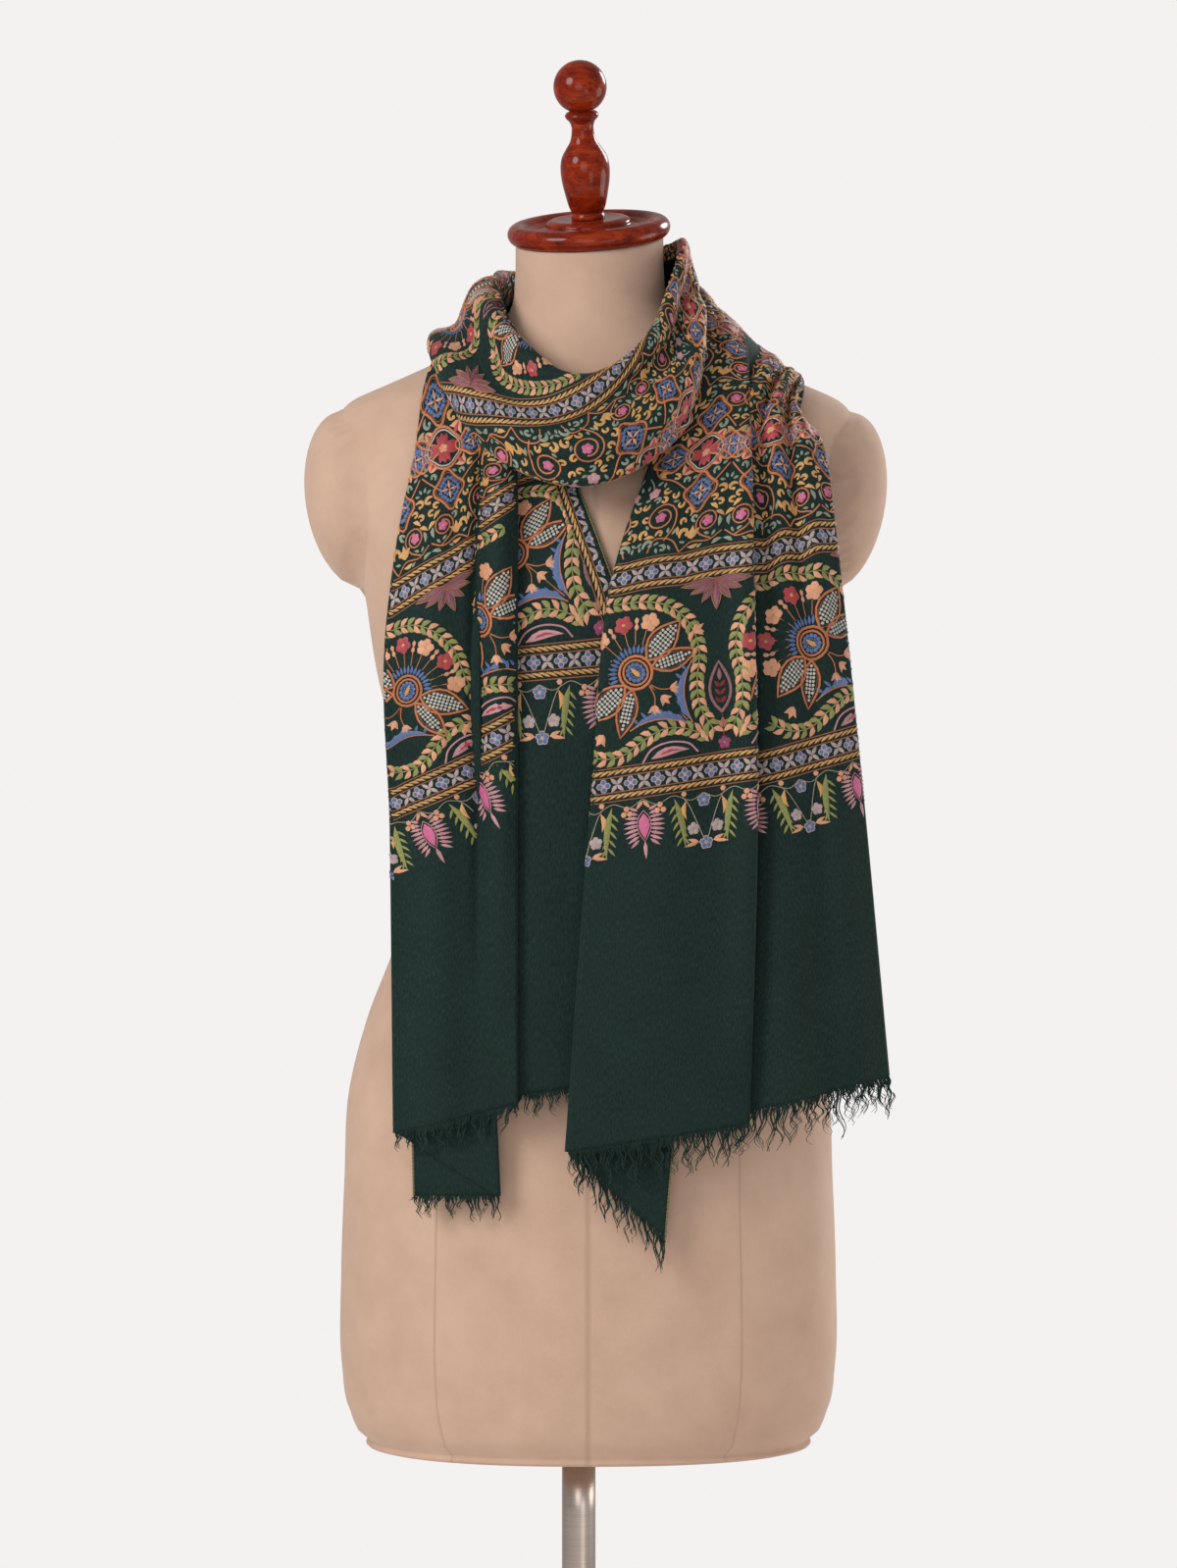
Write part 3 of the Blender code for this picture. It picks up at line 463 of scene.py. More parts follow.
def ramp(tree, value, stops):
    """A colour ramp from (place, linear colour) stops."""
    node = tree.nodes.new("ShaderNodeValToRGB")
    elements = node.color_ramp.elements
    while len(elements) < len(stops):
        elements.new(0.5)
    for element, (place, colour) in zip(elements, stops):
        element.position = place
        element.color = (*colour, 1.0)
    tree.links.new(value, node.inputs["Fac"])
    return node.outputs["Color"]


def on_neck(points, lift):
    """Points of the leaning cap's own frame, in the row frame."""
    forward, left = TILT_FORWARD, -TILT_LEFT
    turn_x = np.array(
        [[1, 0, 0], [0, math.cos(forward), -math.sin(forward)], [0, math.sin(forward), math.cos(forward)]]
    )
    turn_y = np.array([[math.cos(left), 0, math.sin(left)], [0, 1, 0], [-math.sin(left), 0, math.cos(left)]])
    raised = points + np.array([0.0, 0.0, lift])
    return raised @ (turn_y @ turn_x).T + np.array([NECK_X, 0.0, NECK_TOP])


mahogany, tree, shader, place = new_material("cap_wood")
at = place.outputs["Object"]
_, fibre = uneven(tree, at, (22.4, 144.0, 144.0), 6.0, 0.62)
stain = ramp(
    tree, fibre, [(0.28, (0.080, 0.006, 0.002)), (0.50, (0.195, 0.015, 0.003)), (0.74, (0.330, 0.042, 0.008))]
)
pored = {"Low": 0.36, "High": 0.50, "Dark": (0.45, 0.40, 0.38), "Amount": 0.8}
worn, pores = uneven(tree, at, (90.0, 900.0, 900.0), Colour=stain, **pored)
handled, _ = uneven(tree, at, 60.0, 4.0, Low=0.4, Dark=(0.16,) * 3, Light=(0.30,) * 3)
feed(shader, {
    "Base Color": worn,
    "Roughness": handled,
    "Normal": bump(tree, pores, 0.0002, 0.25),
    "Specular IOR Level": 0.08,
    "Coat Weight": 0.20,
    "Coat Roughness": 0.04,
})

plate_points, plate_faces = turned_surface(PLATE_PROFILE)
plate = mesh_piece("neck_plate", on_neck(plate_points, GAP), plate_faces, mahogany)
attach(plate, "root")
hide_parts("neck_cap")

# ---------------- the finial
# A turned mahogany handle on the plate: a vase-shaped neck, a collar and a ball, in a copy of the plate's
# lacquered wood. It is screwed down through the plate.

FINIAL_PROFILE = (
    (0.0118, 0.0000),
    (0.0121, 0.0020),
    (0.0112, 0.0040),
    (0.0126, 0.0075),
    (0.0155, 0.0190),
    (0.0172, 0.0290),
    (0.0174, 0.0370),
    (0.0160, 0.0440),
    (0.0125, 0.0500),
    (0.0094, 0.0550),
    (0.0080, 0.0610),
    (0.0078, 0.0650),
    (0.0092, 0.0690),
    (0.0112, 0.0712),
    (0.0120, 0.0730),
    (0.0108, 0.0752),
    (0.0084, 0.0762),
)
BALL_RADIUS = 0.0188
BALL_START, BALL_END, BALL_POINTS = math.radians(26), math.radians(172), 14

ball_centre = FINIAL_PROFILE[-1][1] + BALL_RADIUS * math.cos(BALL_START)
ball_turns = np.linspace(BALL_START, BALL_END, BALL_POINTS)
ball = [(BALL_RADIUS * math.sin(a), ball_centre - BALL_RADIUS * math.cos(a)) for a in ball_turns]
finial_points, finial_faces = turned_surface((*FINIAL_PROFILE, *ball), sides=96, steps=4)
finial_points = on_neck(finial_points, PLATE_PROFILE[-1][1] + 2 * GAP)
finial = mesh_piece("neck_finial", finial_points, finial_faces, mahogany.copy())
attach(finial, "root")
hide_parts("finial")

# ---------------- the pole and its collar
# A brushed stainless tube that carries the form, with a thin pressed collar where it enters the form's
# underside. The brushing runs round the tube. The steel's warm brown tint is a painted reflection of the
# beige form and the floor.

POLE_RADIUS, POLE_SIDES, POLE_RINGS = 0.012, 96, 8
BASE_HEIGHT = 0.032
FORM_BOTTOM = 0.640
COLLAR_RADIUS, COLLAR_HEIGHT, COLLAR_BEVEL = 0.0151, 0.0035, 0.0005

steel, tree, shader, place = new_material("stand_steel")
at = place.outputs["Object"]
# Brushing streaks between two tones of steel, both tinted warm brown: a painted reflection of the beige form
# and the floor.
brushing_and_reflected_warmth = {"Dark": (0.40, 0.345, 0.31), "Light": (0.57, 0.49, 0.44)}
tone, strokes = uneven(tree, at, (20.0, 20.0, 2600.0), 3.0, 0.6, **brushing_and_reflected_warmth)
polish, _ = uneven(tree, at, 14.0, Low=0.35, Dark=(0.26,) * 3, Light=(0.38,) * 3)
feed(shader, {
    "Base Color": tone,
    "Roughness": polish,
    "Normal": bump(tree, strokes, 0.00005, 0.35),
    "Metallic": 1.0,
    "Anisotropic": 0.5,
})

pole_heights = np.linspace(BASE_HEIGHT + GAP, FORM_BOTTOM - GAP, POLE_RINGS)
pole_surface = turned_surface([(POLE_RADIUS, z) for z in pole_heights], sides=POLE_SIDES, steps=2)
pole = mesh_piece("stand_pole", *pole_surface, steel)
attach(pole, "root")
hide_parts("pole")

inside, top = POLE_RADIUS + GAP, FORM_BOTTOM - GAP
outline = [
    (inside, top - COLLAR_HEIGHT),
    (COLLAR_RADIUS - COLLAR_BEVEL, top - COLLAR_HEIGHT),
    (COLLAR_RADIUS, top - COLLAR_HEIGHT + COLLAR_BEVEL),
    (COLLAR_RADIUS, top),
    (inside, top),
]
turns = full_turn(POLE_SIDES)
collar_points = [(r * math.cos(a), r * math.sin(a), z) for r, z in outline + outline[:1] for a in turns]
collar_faces = grid_faces(len(outline) + 1, POLE_SIDES, closed=True)
collar = mesh_piece("stand_collar", collar_points, collar_faces, steel)
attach(collar, "root")
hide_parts("pole_collar")

# ---------------- the base
# A round cast plate under a brushed steel skin, domed to a boss that the pole stands in. It rests on the
# floor and keeps the form upright by its weight.

BASE_PROFILE = (
    (0.1790, 0.0000),
    (0.1800, 0.0025),
    (0.1790, 0.0055),
    (0.1740, 0.0080),
    (0.1600, 0.0098),
    (0.1200, 0.0125),
    (0.0700, 0.0165),
    (0.0320, 0.0205),
    (0.0240, 0.0245),
    (0.0225, 0.0290),
    (0.0215, 0.0312),
    (0.0200, 0.0320),
)

# The foot's steel is a copy of the pole's, with the same warm brown tint painted in as a reflection of the
# form and floor.
base = mesh_piece("stand_foot", *turned_surface(BASE_PROFILE, sides=160, steps=4), steel.copy())
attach(base, "root")
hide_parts("stand_base")

# ---------------- the right end
# The stretch of fine goat's-wool twill that falls from the right shoulder: it is folded lengthwise in
# layers, so the selvedge lies behind, and hangs free over the form's front to its fringed hem.

HEM, BORDER, BAND, CHEST = 0.0, 0.240, 0.402, 0.480  # along the cloth from each hem
RIGHT_SHOULDER, LEFT_SHOULDER = 0.640, 0.610
CLEAR = 0.0035  # from the form to the innermost layer's middle
PAST_EDGE = 0.004  # how far past a surface's own edge a point is still kept clear of it
LAYER = 0.0042  # from one layer of folded cloth to the next
TUCK_LIFT = 0.0020  # the ends' extra clearance where they pass over the shoulders
BUST_HEIGHT = 1.245
DRAPE_WIDTH, DRAPE_POWER, DRAPE_SHARE = 0.262, 2.2, 0.98  # the oval that the hanging cloth follows
CLOTH_WALL = 0.0010
TWILL_RIB = 0.0007
BEYOND_TURN, BEYOND_LENGTH = 22, 0.045  # how far past the shoulder an end's lines are led
FAN_END, FAN_RISE = 0.150, 0.7  # where the ridges start to sink, short of the shoulder, and their slant
BEND_STEPS = 9  # columns round each fold
RIGHT_PITCH, RIGHT_LEVELS = 0.0026, 200  # between columns on a panel, and the number of rows
RIGHT_FOLDS = (
    # name, across, lift, band_share, then x and z at the hem, the border, the band and the chest
    ("rear_selvedge", 0.000, 1.5, 0.00, 0.060, 0.808, 0.077, 1.038, 0.076, 1.197, 0.076, 1.280),
    ("inner_fold", 0.090, 3.2, 0.20, -0.009, 0.868, 0.009, 1.108, 0.025, 1.269, 0.048, 1.339),
    ("step_fold", 0.230, 2.1, 0.46, 0.118, 0.886, 0.123, 1.116, 0.120, 1.278, 0.119, 1.353),
    ("hidden_fold", 0.255, 1.0, 0.50, 0.100, 0.891, 0.103, 1.120, 0.103, 1.280, 0.103, 1.354),
    ("outer_fold", 0.365, 0.0, 0.80, 0.217, 0.916, 0.196, 1.130, 0.179, 1.290, 0.171, 1.359),
    ("return_edge", 0.430, 0.0, 1.00, 0.162, 0.912, 0.151, 1.128, 0.141, 1.286, 0.136, 1.357),
)
RIGHT_SWELLS = (
    # across, half_width, from, to, depth
    (0.224, 0.014, 0.02, 0.60, 0.0090),
    (0.150, 0.030, 0.00, 0.42, 0.0060),
    (0.268, 0.012, 0.05, 0.50, -0.0030),
    (0.300, 0.020, -0.30, 0.40, 0.0100),
    (0.345, 0.014, -0.20, 0.50, 0.0060),
)
RIGHT_FANS = (
    # fold line that the panel starts at, ridges, height
    ("inner_fold", 2, 0.0070),
    ("hidden_fold", 3, 0.0190),
)
CORNER_ROW, CORNER_REACH, CORNER_SINK = 0.545, 0.045, 0.0130  # where the outer corner slips down and in
CORNER_START, CORNER_FULL = 0.270, 0.365  # across the cloth
HEATHER = (
    # place on the ramp, linear colour
    (0.32, (0.0055, 0.0150, 0.0130)),
    (0.52, (0.0095, 0.0235, 0.0205)),
    (0.72, (0.0165, 0.0370, 0.0330)),
)
WRAP_STATIONS = np.array(
    (
        # turn, radius, height, half_width, lean, depth, beneath, beneath_low
        (0, 0.1060, 1.4220, 0.0420, 46, 0.014, 0.002, 0.002),
        (45, 0.0940, 1.4270, 0.0500, 20, 0.018, 0.009, 0.001),
        (90, 0.0870, 1.4300, 0.0520, 7, 0.018, 0.012, 0.001),
        (135, 0.0860, 1.4340, 0.0490, 18, 0.017, 0.013, 0.003),
        (180, 0.0785, 1.4420, 0.0360, 38, 0.014, 0.011, 0.011),
        (210, 0.0845, 1.4170, 0.0400, 38, 0.019, 0.012, 0.012),
        (240, 0.0960, 1.3760, 0.0440, 34, 0.023, 0.014, 0.014),
        (270, 0.1040, 1.3560, 0.0420, 28, 0.024, 0.008, 0.008),
        (300, 0.0930, 1.3900, 0.0410, 32, 0.020, 0.013, 0.015),
        (320, 0.0765, 1.4230, 0.0370, 27, 0.013, 0.011, 0.015),
        (338, 0.0680, 1.4610, 0.0280, 19, 0.009, 0.011, 0.013),
        (350, 0.0655, 1.4790, 0.0230, 13, 0.008, 0.009, 0.012),
        (365, 0.0650, 1.4800, 0.0250, 6, 0.009, 0.001, 0.001),
        (405, 0.0600, 1.4700, 0.0290, 5, 0.009, 0.000, 0.000),
        (450, 0.0590, 1.4600, 0.0300, 7, 0.009, 0.000, 0.000),
        (495, 0.0600, 1.4500, 0.0300, 20, 0.009, 0.000, 0.000),
        (540, 0.0700, 1.4400, 0.0300, 44, 0.009, 0.002, 0.002),
        (570, 0.0820, 1.4200, 0.0320, 44, 0.009, 0.002, 0.002),
    ),
    float,
)
WRAP_REACH = 0.88 * math.pi
SECTION_POWER = 2 / 2.7


def drape_depth(x, height):
    """How far forward the hanging cloth's base lies: on the chest above the bust, plumb below it."""
    front = form_section(np.maximum(height, BUST_HEIGHT))[..., 2]
    across = np.clip(np.abs(x - NECK_X) / DRAPE_WIDTH, 0, DRAPE_SHARE)
    return -(front + CLEAR) * (1 - across**DRAPE_POWER) ** (1 / DRAPE_POWER)


def wrap_section(turn, share):
    """The band round the neck at one angle: a flattened ring, open on its inner side.

    share runs from 0 to 1 across the cloth; the upper edge comes before the lower one.
    """
    radius, height, half, lean, depth = smooth(turn, WRAP_STATIONS[:, 0], WRAP_STATIONS[:, 1:6])
    angle = math.radians(turn)
    out = np.array([math.cos(angle), math.sin(angle), 0.0])
    tilt = math.radians(lean)
    down = math.sin(tilt) * out - np.array([0.0, 0.0, math.cos(tilt)])
    away = math.cos(tilt) * out + np.array([0.0, 0.0, math.sin(tilt)])
    turn_round = (2 * np.asarray(share) - 1) * WRAP_REACH
    across = squared(np.sin(turn_round), SECTION_POWER)
    rise = squared(np.cos(turn_round), SECTION_POWER)
    lift = depth / 2 * (1 + rise)
    centre = np.array([NECK_X, 0.0, height]) + radius * out
    return centre + half * across[:, None] * down + lift[:, None] * away


def bend_radii(folds):
    """Half the distance between the layers that each fold joins; none at the selvedges."""
    lifts = [row[2] for row in folds]
    inner = [abs(lifts[i] - lifts[i - 1]) * LAYER / 2 for i in range(1, len(folds) - 1)]
    return np.array([0.0] + inner + [0.0])


def fold_columns(folds, pitch, bend_steps):
    """Flat places across an end: even steps of about the pitch on each panel and a few round each fold."""
    table = [row[1] for row in folds]
    half_bends = bend_radii(folds) * math.pi / 2
    places = [table[0]]
    for panel in range(len(table) - 1):
        start = table[panel] + half_bends[panel]
        end = table[panel + 1] - half_bends[panel + 1]
        steps = max(1, round((end - start) / pitch))
        places += list(np.linspace(start, end, steps + 1)[(panel == 0) :])
        if panel < len(table) - 2:
            past = table[panel + 1] + half_bends[panel + 1]
            places += list(np.linspace(end, past, bend_steps + 1)[1:-1])
    return np.array(places)


def panel_span(folds, name):
    """The flat places between which the panel that starts at the named fold line lies."""
    panel = [row[0] for row in folds].index(name)
    bends = bend_radii(folds) * math.pi / 2
    return folds[panel][1] + bends[panel], folds[panel + 1][1] - bends[panel + 1]


def folded_row(folds, columns, level):
    """One row of points across an end at a level (0 hem, 1 border, 2 band, 3 chest): panels and folds."""
    across = np.array([row[1] for row in folds])
    lifts = np.array([row[2] for row in folds]) * LAYER
    line_x = np.array([row[4 + 2 * level] for row in folds])
    line_z = np.array([row[5 + 2 * level] for row in folds])
    radii = bend_radii(folds)
    bends = radii * math.pi / 2
    heading = np.sign(np.diff(line_x))
    turn_x = line_x.copy()
    turn_x[1:-1] -= heading[:-1] * radii[1:-1]
    x, z, lift = (np.zeros(len(columns)) for _ in range(3))
    for panel in range(len(folds) - 1):
        start, end = across[panel] + bends[panel], across[panel + 1] - bends[panel + 1]
        on = (columns >= start - 1e-9) & (columns <= end + 1e-9)
        share = (columns[on] - start) / (end - start)
        x[on] = turn_x[panel] + share * (turn_x[panel + 1] - turn_x[panel])
        z[on] = line_z[panel] + share * (line_z[panel + 1] - line_z[panel])
        lift[on] = lifts[panel]
    for fold in range(1, len(folds) - 1):
        offset = columns - across[fold]
        on = np.abs(offset) < bends[fold] - 1e-9
        angle = offset[on] / radii[fold]
        x[on] = turn_x[fold] + heading[fold - 1] * radii[fold] * np.cos(angle)
        z[on] = line_z[fold]
        middle = (lifts[fold] + lifts[fold - 1]) / 2
        lift[on] = middle + (lifts[fold] - lifts[fold - 1]) / 2 * np.sin(angle)
    y = drape_depth(x, z) - lift
    return np.stack([x, y, z], axis=1), lift


def hanging_end(folds, columns, rows, shoulder, turn, heading):
    """An end of the shawl: its folded rows from hem to chest, led into the band's section at the shoulder."""
    levels = [folded_row(folds, columns, level) for level in range(4)]
    share = np.interp(columns, [row[1] for row in folds], [row[3] for row in folds])
    beyond = turn + heading * BEYOND_TURN
    controls = [points for points, _ in levels] + [wrap_section(turn, share), wrap_section(beyond, share)]
    knots = [HEM, BORDER, BAND, CHEST, shoulder, shoulder + BEYOND_LENGTH]
    return smooth(rows, knots, np.array(controls)), levels[0][1]


def fan_pleats(points, folds, columns, rows, shoulder, fans):
    """Raises soft ridges on an end's panels, tallest near the shoulder and gone at the borders."""
    raised = points.copy()
    share = np.clip((rows - BORDER) / (shoulder - BORDER), 0, 1)
    fade = share**1.3 * np.sin(math.pi / 2 * np.clip((shoulder - rows) / FAN_END, 0, 1))
    for fold, ridges, height in fans:
        start, stop = panel_span(folds, fold)
        share = np.clip((columns - start) / (stop - start), 0, 1)
        wave = np.abs(np.sin(math.pi * ridges * share)) ** 1.4 * np.sin(math.pi * share) ** 0.3
        lift = height * fade[:, None] * wave[None, :]
        raised[..., 1] -= lift * FAN_RISE
        raised[..., 2] += lift * FAN_RISE
    return raised


def push_clear(points, lifts, trees):
    """Moves points out until each is CLEAR and its lift from every surface in trees.

    A point that lies further than PAST_EDGE past a surface's own edge stays.
    """
    moved = points.copy()
    flat, wanted = moved.reshape(-1, 3), np.broadcast_to(lifts, moved.shape[:-1]).reshape(-1) + CLEAR
    for tree in trees:
        for index, point in enumerate(flat):
            here = Vector(point)
            near, normal, _, distance = tree.find_nearest(here)
            height = (here - near).dot(normal)
            beside = math.sqrt(max(0.0, distance**2 - height**2))
            if height < wanted[index] and beside < PAST_EDGE:
                flat[index] = np.array(here + normal * (wanted[index] - height))
    return moved


def surface_tree(points):
    """A grid of points as a surface to keep clear of."""
    return BVHTree.FromPolygons(points.reshape(-1, 3).tolist(), grid_faces(*points.shape[:2]).tolist())


def soft_folds(points, columns, rows, folds):
    """Lets the hanging cloth swing forward in soft upright folds.

    Each is (centre, width, from, to, depth): a rounded ridge of that depth and width at that flat place, from
    its first height on the cloth to its last and fullest midway; a negative depth is a valley.
    """
    moved = points.copy()
    for centre, width, first, last, depth in folds:
        across = np.exp(-(((columns - centre) / width) ** 2))
        along = np.sin(math.pi * np.clip((rows - first) / (last - first), 0, 1)) ** 0.8
        moved[..., 1] -= depth * along[:, None] * across[None, :]
    return moved


def cloth_piece(name, points, places, rows, material):
    """A wall of cloth through a grid of points, with its flat places in metres as its UVs."""
    across, along = np.meshgrid(places, rows)
    uv = np.stack([across, along], axis=-1).reshape(-1, 2)
    item = mesh_piece(name, points.reshape(-1, 3), grid_faces(*points.shape[:2]), material, uv)
    wall = item.modifiers.new("wall", "SOLIDIFY")
    wall.thickness = CLOTH_WALL
    wall.offset = 0.0
    return item


def flat_places(tree):
    """Where each point of a mesh lies on the flat cloth or along its thread, as coordinates."""
    node = tree.nodes.new("ShaderNodeUVMap")
    node.uv_map = "flat"
    return node.outputs["UV"]


def twill_material(name):
    """Piece-dyed wool twill: diagonal ribs, a heathered tone, a soft bloom at grazing angles."""
    made, tree, shader, place = new_material(name)
    flat = flat_places(tree)
    turned = tree.nodes.new("ShaderNodeMapping")
    feed(turned, {"Rotation": (0.0, 0.0, math.radians(45)), "Vector": flat})
    rib = tree.nodes.new("ShaderNodeTexWave")
    rib.wave_type, rib.bands_direction = "BANDS", "X"
    feed(rib, {
        "Scale": 1.0 / (2 * math.pi * TWILL_RIB) * 2,
        "Distortion": 1.2,
        "Detail": 2.0,
        "Detail Scale": 900.0,
        "Vector": turned.outputs["Vector"],
    })
    _, yarn = uneven(tree, flat, (900.0, 260.0, 1.0), 3.0, 0.6)
    heather = ramp(tree, yarn, HEATHER)
    at = place.outputs["Object"]
    tone, cloud = uneven(tree, at, 22.0, 4.0, 0.6, Colour=heather, Dark=(0.80, 0.82, 0.83))
    normal = bump(tree, rib.outputs["Fac"], 0.00012, 0.6)
    feed(shader, {
        "Base Color": tone,
        "Normal": bump(tree, cloud, 0.0016, 0.5, normal),
        "Roughness": 0.78,
        "Specular IOR Level": 0.12,
        "Sheen Weight": 0.14,
        "Sheen Roughness": 0.35,
        "Sheen Tint": (0.45, 0.75, 0.70, 1.0),
    })
    return made


cover_grid = grid_faces(*cover_points.shape[:2], closed=True)
form_tree = BVHTree.FromPolygons(closed_cover[0].tolist(), cover_grid.tolist())
plate_tree = BVHTree.FromPolygons(on_neck(plate_points, GAP).tolist(), plate_faces.tolist())
pashmina = twill_material("shawl_cloth")

right_columns = fold_columns(RIGHT_FOLDS, RIGHT_PITCH, BEND_STEPS)
right_rows = np.linspace(HEM, RIGHT_SHOULDER, RIGHT_LEVELS)
right_points, right_lifts = hanging_end(RIGHT_FOLDS, right_columns, right_rows, RIGHT_SHOULDER, 0, 1)
right_points = fan_pleats(right_points, RIGHT_FOLDS, right_columns, right_rows, RIGHT_SHOULDER, RIGHT_FANS)
right_points = soft_folds(right_points, right_columns, right_rows, RIGHT_SWELLS)
sunk = np.exp(-(((right_rows - CORNER_ROW) / CORNER_REACH) ** 2))[:, None]
sunk = sunk * np.clip((right_columns - CORNER_START) / (CORNER_FULL - CORNER_START), 0, 1)[None, :] ** 2
right_points[..., 0] -= CORNER_SINK * sunk
right_points[..., 2] -= CORNER_SINK * sunk
fade = np.clip((RIGHT_SHOULDER - right_rows) / (RIGHT_SHOULDER - CHEST), 0, 1)[:, None]
right_points = push_clear(right_points, fade * right_lifts + (1 - fade) * TUCK_LIFT, [form_tree])
right_end = cloth_piece("shawl_right_end", right_points, right_columns, right_rows, pashmina)
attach(right_end, "root")
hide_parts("right_end")

# ---------------- the left end
# The other end of the same cloth, which comes out from under the loop at the left shoulder and hangs in a
# broad outer panel, a pleated strip and an inner panel, with two layers doubled back behind.

LEFT_FOLDS = (
    # name, across, lift, band_share, then x and z at the hem, the border, the band and the chest
    ("inner_selvedge", 0.000, 0.0, 0.00, 0.012, 0.913, 0.045, 1.178, -0.005, 1.342, -0.011, 1.377),
    ("hidden_fold", 0.086, 1.0, 0.22, -0.054, 0.904, -0.054, 1.173, -0.052, 1.327, -0.050, 1.371),
    ("strip_fold", 0.100, 2.0, 0.27, -0.042, 0.900, -0.042, 1.149, -0.042, 1.313, -0.043, 1.365),
    ("outer_fold", 0.197, 1.0, 0.78, -0.128, 0.879, -0.130, 1.088, -0.132, 1.234, -0.120, 1.316),
    ("rear_fold", 0.268, 0.0, 0.92, -0.054, 0.836, -0.065, 1.081, -0.067, 1.236, -0.067, 1.319),
    ("rear_selvedge", 0.328, 0.0, 1.00, -0.114, 0.835, -0.119, 1.081, -0.121, 1.236, -0.111, 1.319),
)
LEFT_SWELLS = (
    # across, half_width, from, to, depth
    (0.113, 0.011, 0.05, 0.60, 0.0085),
    (0.1300, 0.0050, 0.08, 0.62, -0.0075),
    (0.160, 0.018, -0.25, 0.55, 0.0070),
    (0.186, 0.012, 0.00, 0.45, -0.0030),
    (0.060, 0.020, 0.00, 0.30, 0.0040),
)
LEFT_FANS = (("strip_fold", 2, 0.0050),)  # fold line that the panel starts at, ridges, height
LEFT_PITCH, LEFT_LEVELS = 0.0024, 190
WRAP_END = 540  # degrees round the neck from the right shoulder to the left end's start

left_columns = fold_columns(LEFT_FOLDS, LEFT_PITCH, BEND_STEPS)
left_rows = np.linspace(HEM, LEFT_SHOULDER, LEFT_LEVELS)
left_points, left_lifts = hanging_end(LEFT_FOLDS, left_columns, left_rows, LEFT_SHOULDER, WRAP_END, -1)
left_points = fan_pleats(left_points, LEFT_FOLDS, left_columns, left_rows, LEFT_SHOULDER, LEFT_FANS)
left_points = soft_folds(left_points, left_columns, left_rows, LEFT_SWELLS)
fade = np.clip((LEFT_SHOULDER - left_rows) / (LEFT_SHOULDER - CHEST), 0, 1)[:, None]
left_points = push_clear(left_points, fade * left_lifts + (1 - fade) * TUCK_LIFT, [form_tree])
left_end = cloth_piece("shawl_left_end", left_points, left_columns, left_rows, pashmina)
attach(left_end, "root")
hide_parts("left_end")

# ---------------- the back wrap
# The cloth's first pass behind the neck: the same twill, gathered by hand into a broad band of soft pleats
# that lies on both shoulders, held by its own folds.

PLEATS = 2.5
PLEAT_HEIGHT = 0.0075
PLEAT_WANDER = 0.8  # how far their phase runs on for each radian round the neck
PLEAT_START, PLEATS_END = 30, 362  # the turns that they rise over and end at
SWEEP_ROWS, BAND_COLUMNS, FACE_SHARE = 55, 25, 0.7
OVER_ENDS = (190, 353)  # the turns between which the band lies over the two ends
RIGHT_FRONT, LEFT_FRONT = 0.090, 0.197  # where across the cloth each end's front layers begin
BACK_END, BACK_LEVELS, FINE_COLUMNS = 180, 92, 97  # the turn that this pass ends at, and its grid
BACK_FLAT = (0.17, 0.26)  # its flat size


def relax(points, rounds):
    """Evens a grid of points with its neighbours; its edges stay."""
    eased = points.copy()
    for _ in range(rounds):
        middle = eased[1:-1, 1:-1]
        around = eased[:-2, 1:-1] + eased[2:, 1:-1] + eased[1:-1, :-2] + eased[1:-1, 2:]
        eased[1:-1, 1:-1] = 0.5 * middle + 0.125 * around
    return eased


def grid_normals(points):
    """The outward direction at each point of a band's grid."""
    along, across = np.gradient(points, axis=0), np.gradient(points, axis=1)
    normal = np.cross(across, along)
    return normal / np.linalg.norm(normal, axis=2)[:, :, None]


def points_along(at, places, line):
    """Where a line, given by its points and their places along it, is at other places."""
    return np.stack([np.interp(at, places, axis) for axis in line.T], axis=1)


def end_row(folds, columns, points, share):
    """The last row of a hanging end at the band's own places across the cloth."""
    places = np.interp(columns, [row[1] for row in folds], [row[3] for row in folds])
    return points_along(share, places, points[-1])


sweep_turns = np.linspace(0, WRAP_END, SWEEP_ROWS)
spread = np.linspace(-1, 1, BAND_COLUMNS)
sweep_share = 0.5 + 0.5 * spread * (FACE_SHARE + (1 - FACE_SHARE) * spread**2)
sweep = np.array([wrap_section(turn, sweep_share) for turn in sweep_turns])
beneath = smooth(sweep_turns, WRAP_STATIONS[:, 0], WRAP_STATIONS[:, 6:8])
lower = np.clip((sweep_share - 0.5) * 2 * WRAP_REACH / (math.pi / 2), 0, 1)
sweep_lifts = beneath[:, :1] * (1 - lower) + beneath[:, 1:] * lower
over = (sweep_turns > OVER_ENDS[0]) & (sweep_turns < OVER_ENDS[1])
right_front = right_points[:, right_columns >= RIGHT_FRONT]
left_front = left_points[:, left_columns <= LEFT_FRONT][:, ::-1]
fronts = [surface_tree(right_front[::2, ::2]), surface_tree(left_front[::2, ::2])]
for _ in range(2):
    sweep[0] = end_row(RIGHT_FOLDS, right_columns, right_points, sweep_share)
    sweep[-1] = end_row(LEFT_FOLDS, left_columns, left_points, sweep_share)
    sweep[1:-1] = push_clear(sweep[1:-1], sweep_lifts[1:-1], [form_tree, plate_tree])
    sweep[over] = push_clear(sweep[over], 0.0, fronts)
    sweep = relax(sweep, 1)
outer = np.clip(np.cos((2 * sweep_share - 1) * WRAP_REACH), 0, 1) ** 0.5
started = np.clip(np.minimum(sweep_turns, PLEATS_END - sweep_turns) / PLEAT_START, 0, 1)
phase = 2 * PLEATS * (2 * sweep_share - 1) * WRAP_REACH + PLEAT_WANDER * np.radians(sweep_turns)[:, None]
ridge = (PLEAT_HEIGHT * started[:, None] * outer * np.abs(np.cos(phase / 2)))[:, :, None]
sweep = sweep + ridge * grid_normals(sweep)
sweep[1:-1] = push_clear(sweep[1:-1], 0.0, [form_tree, plate_tree])


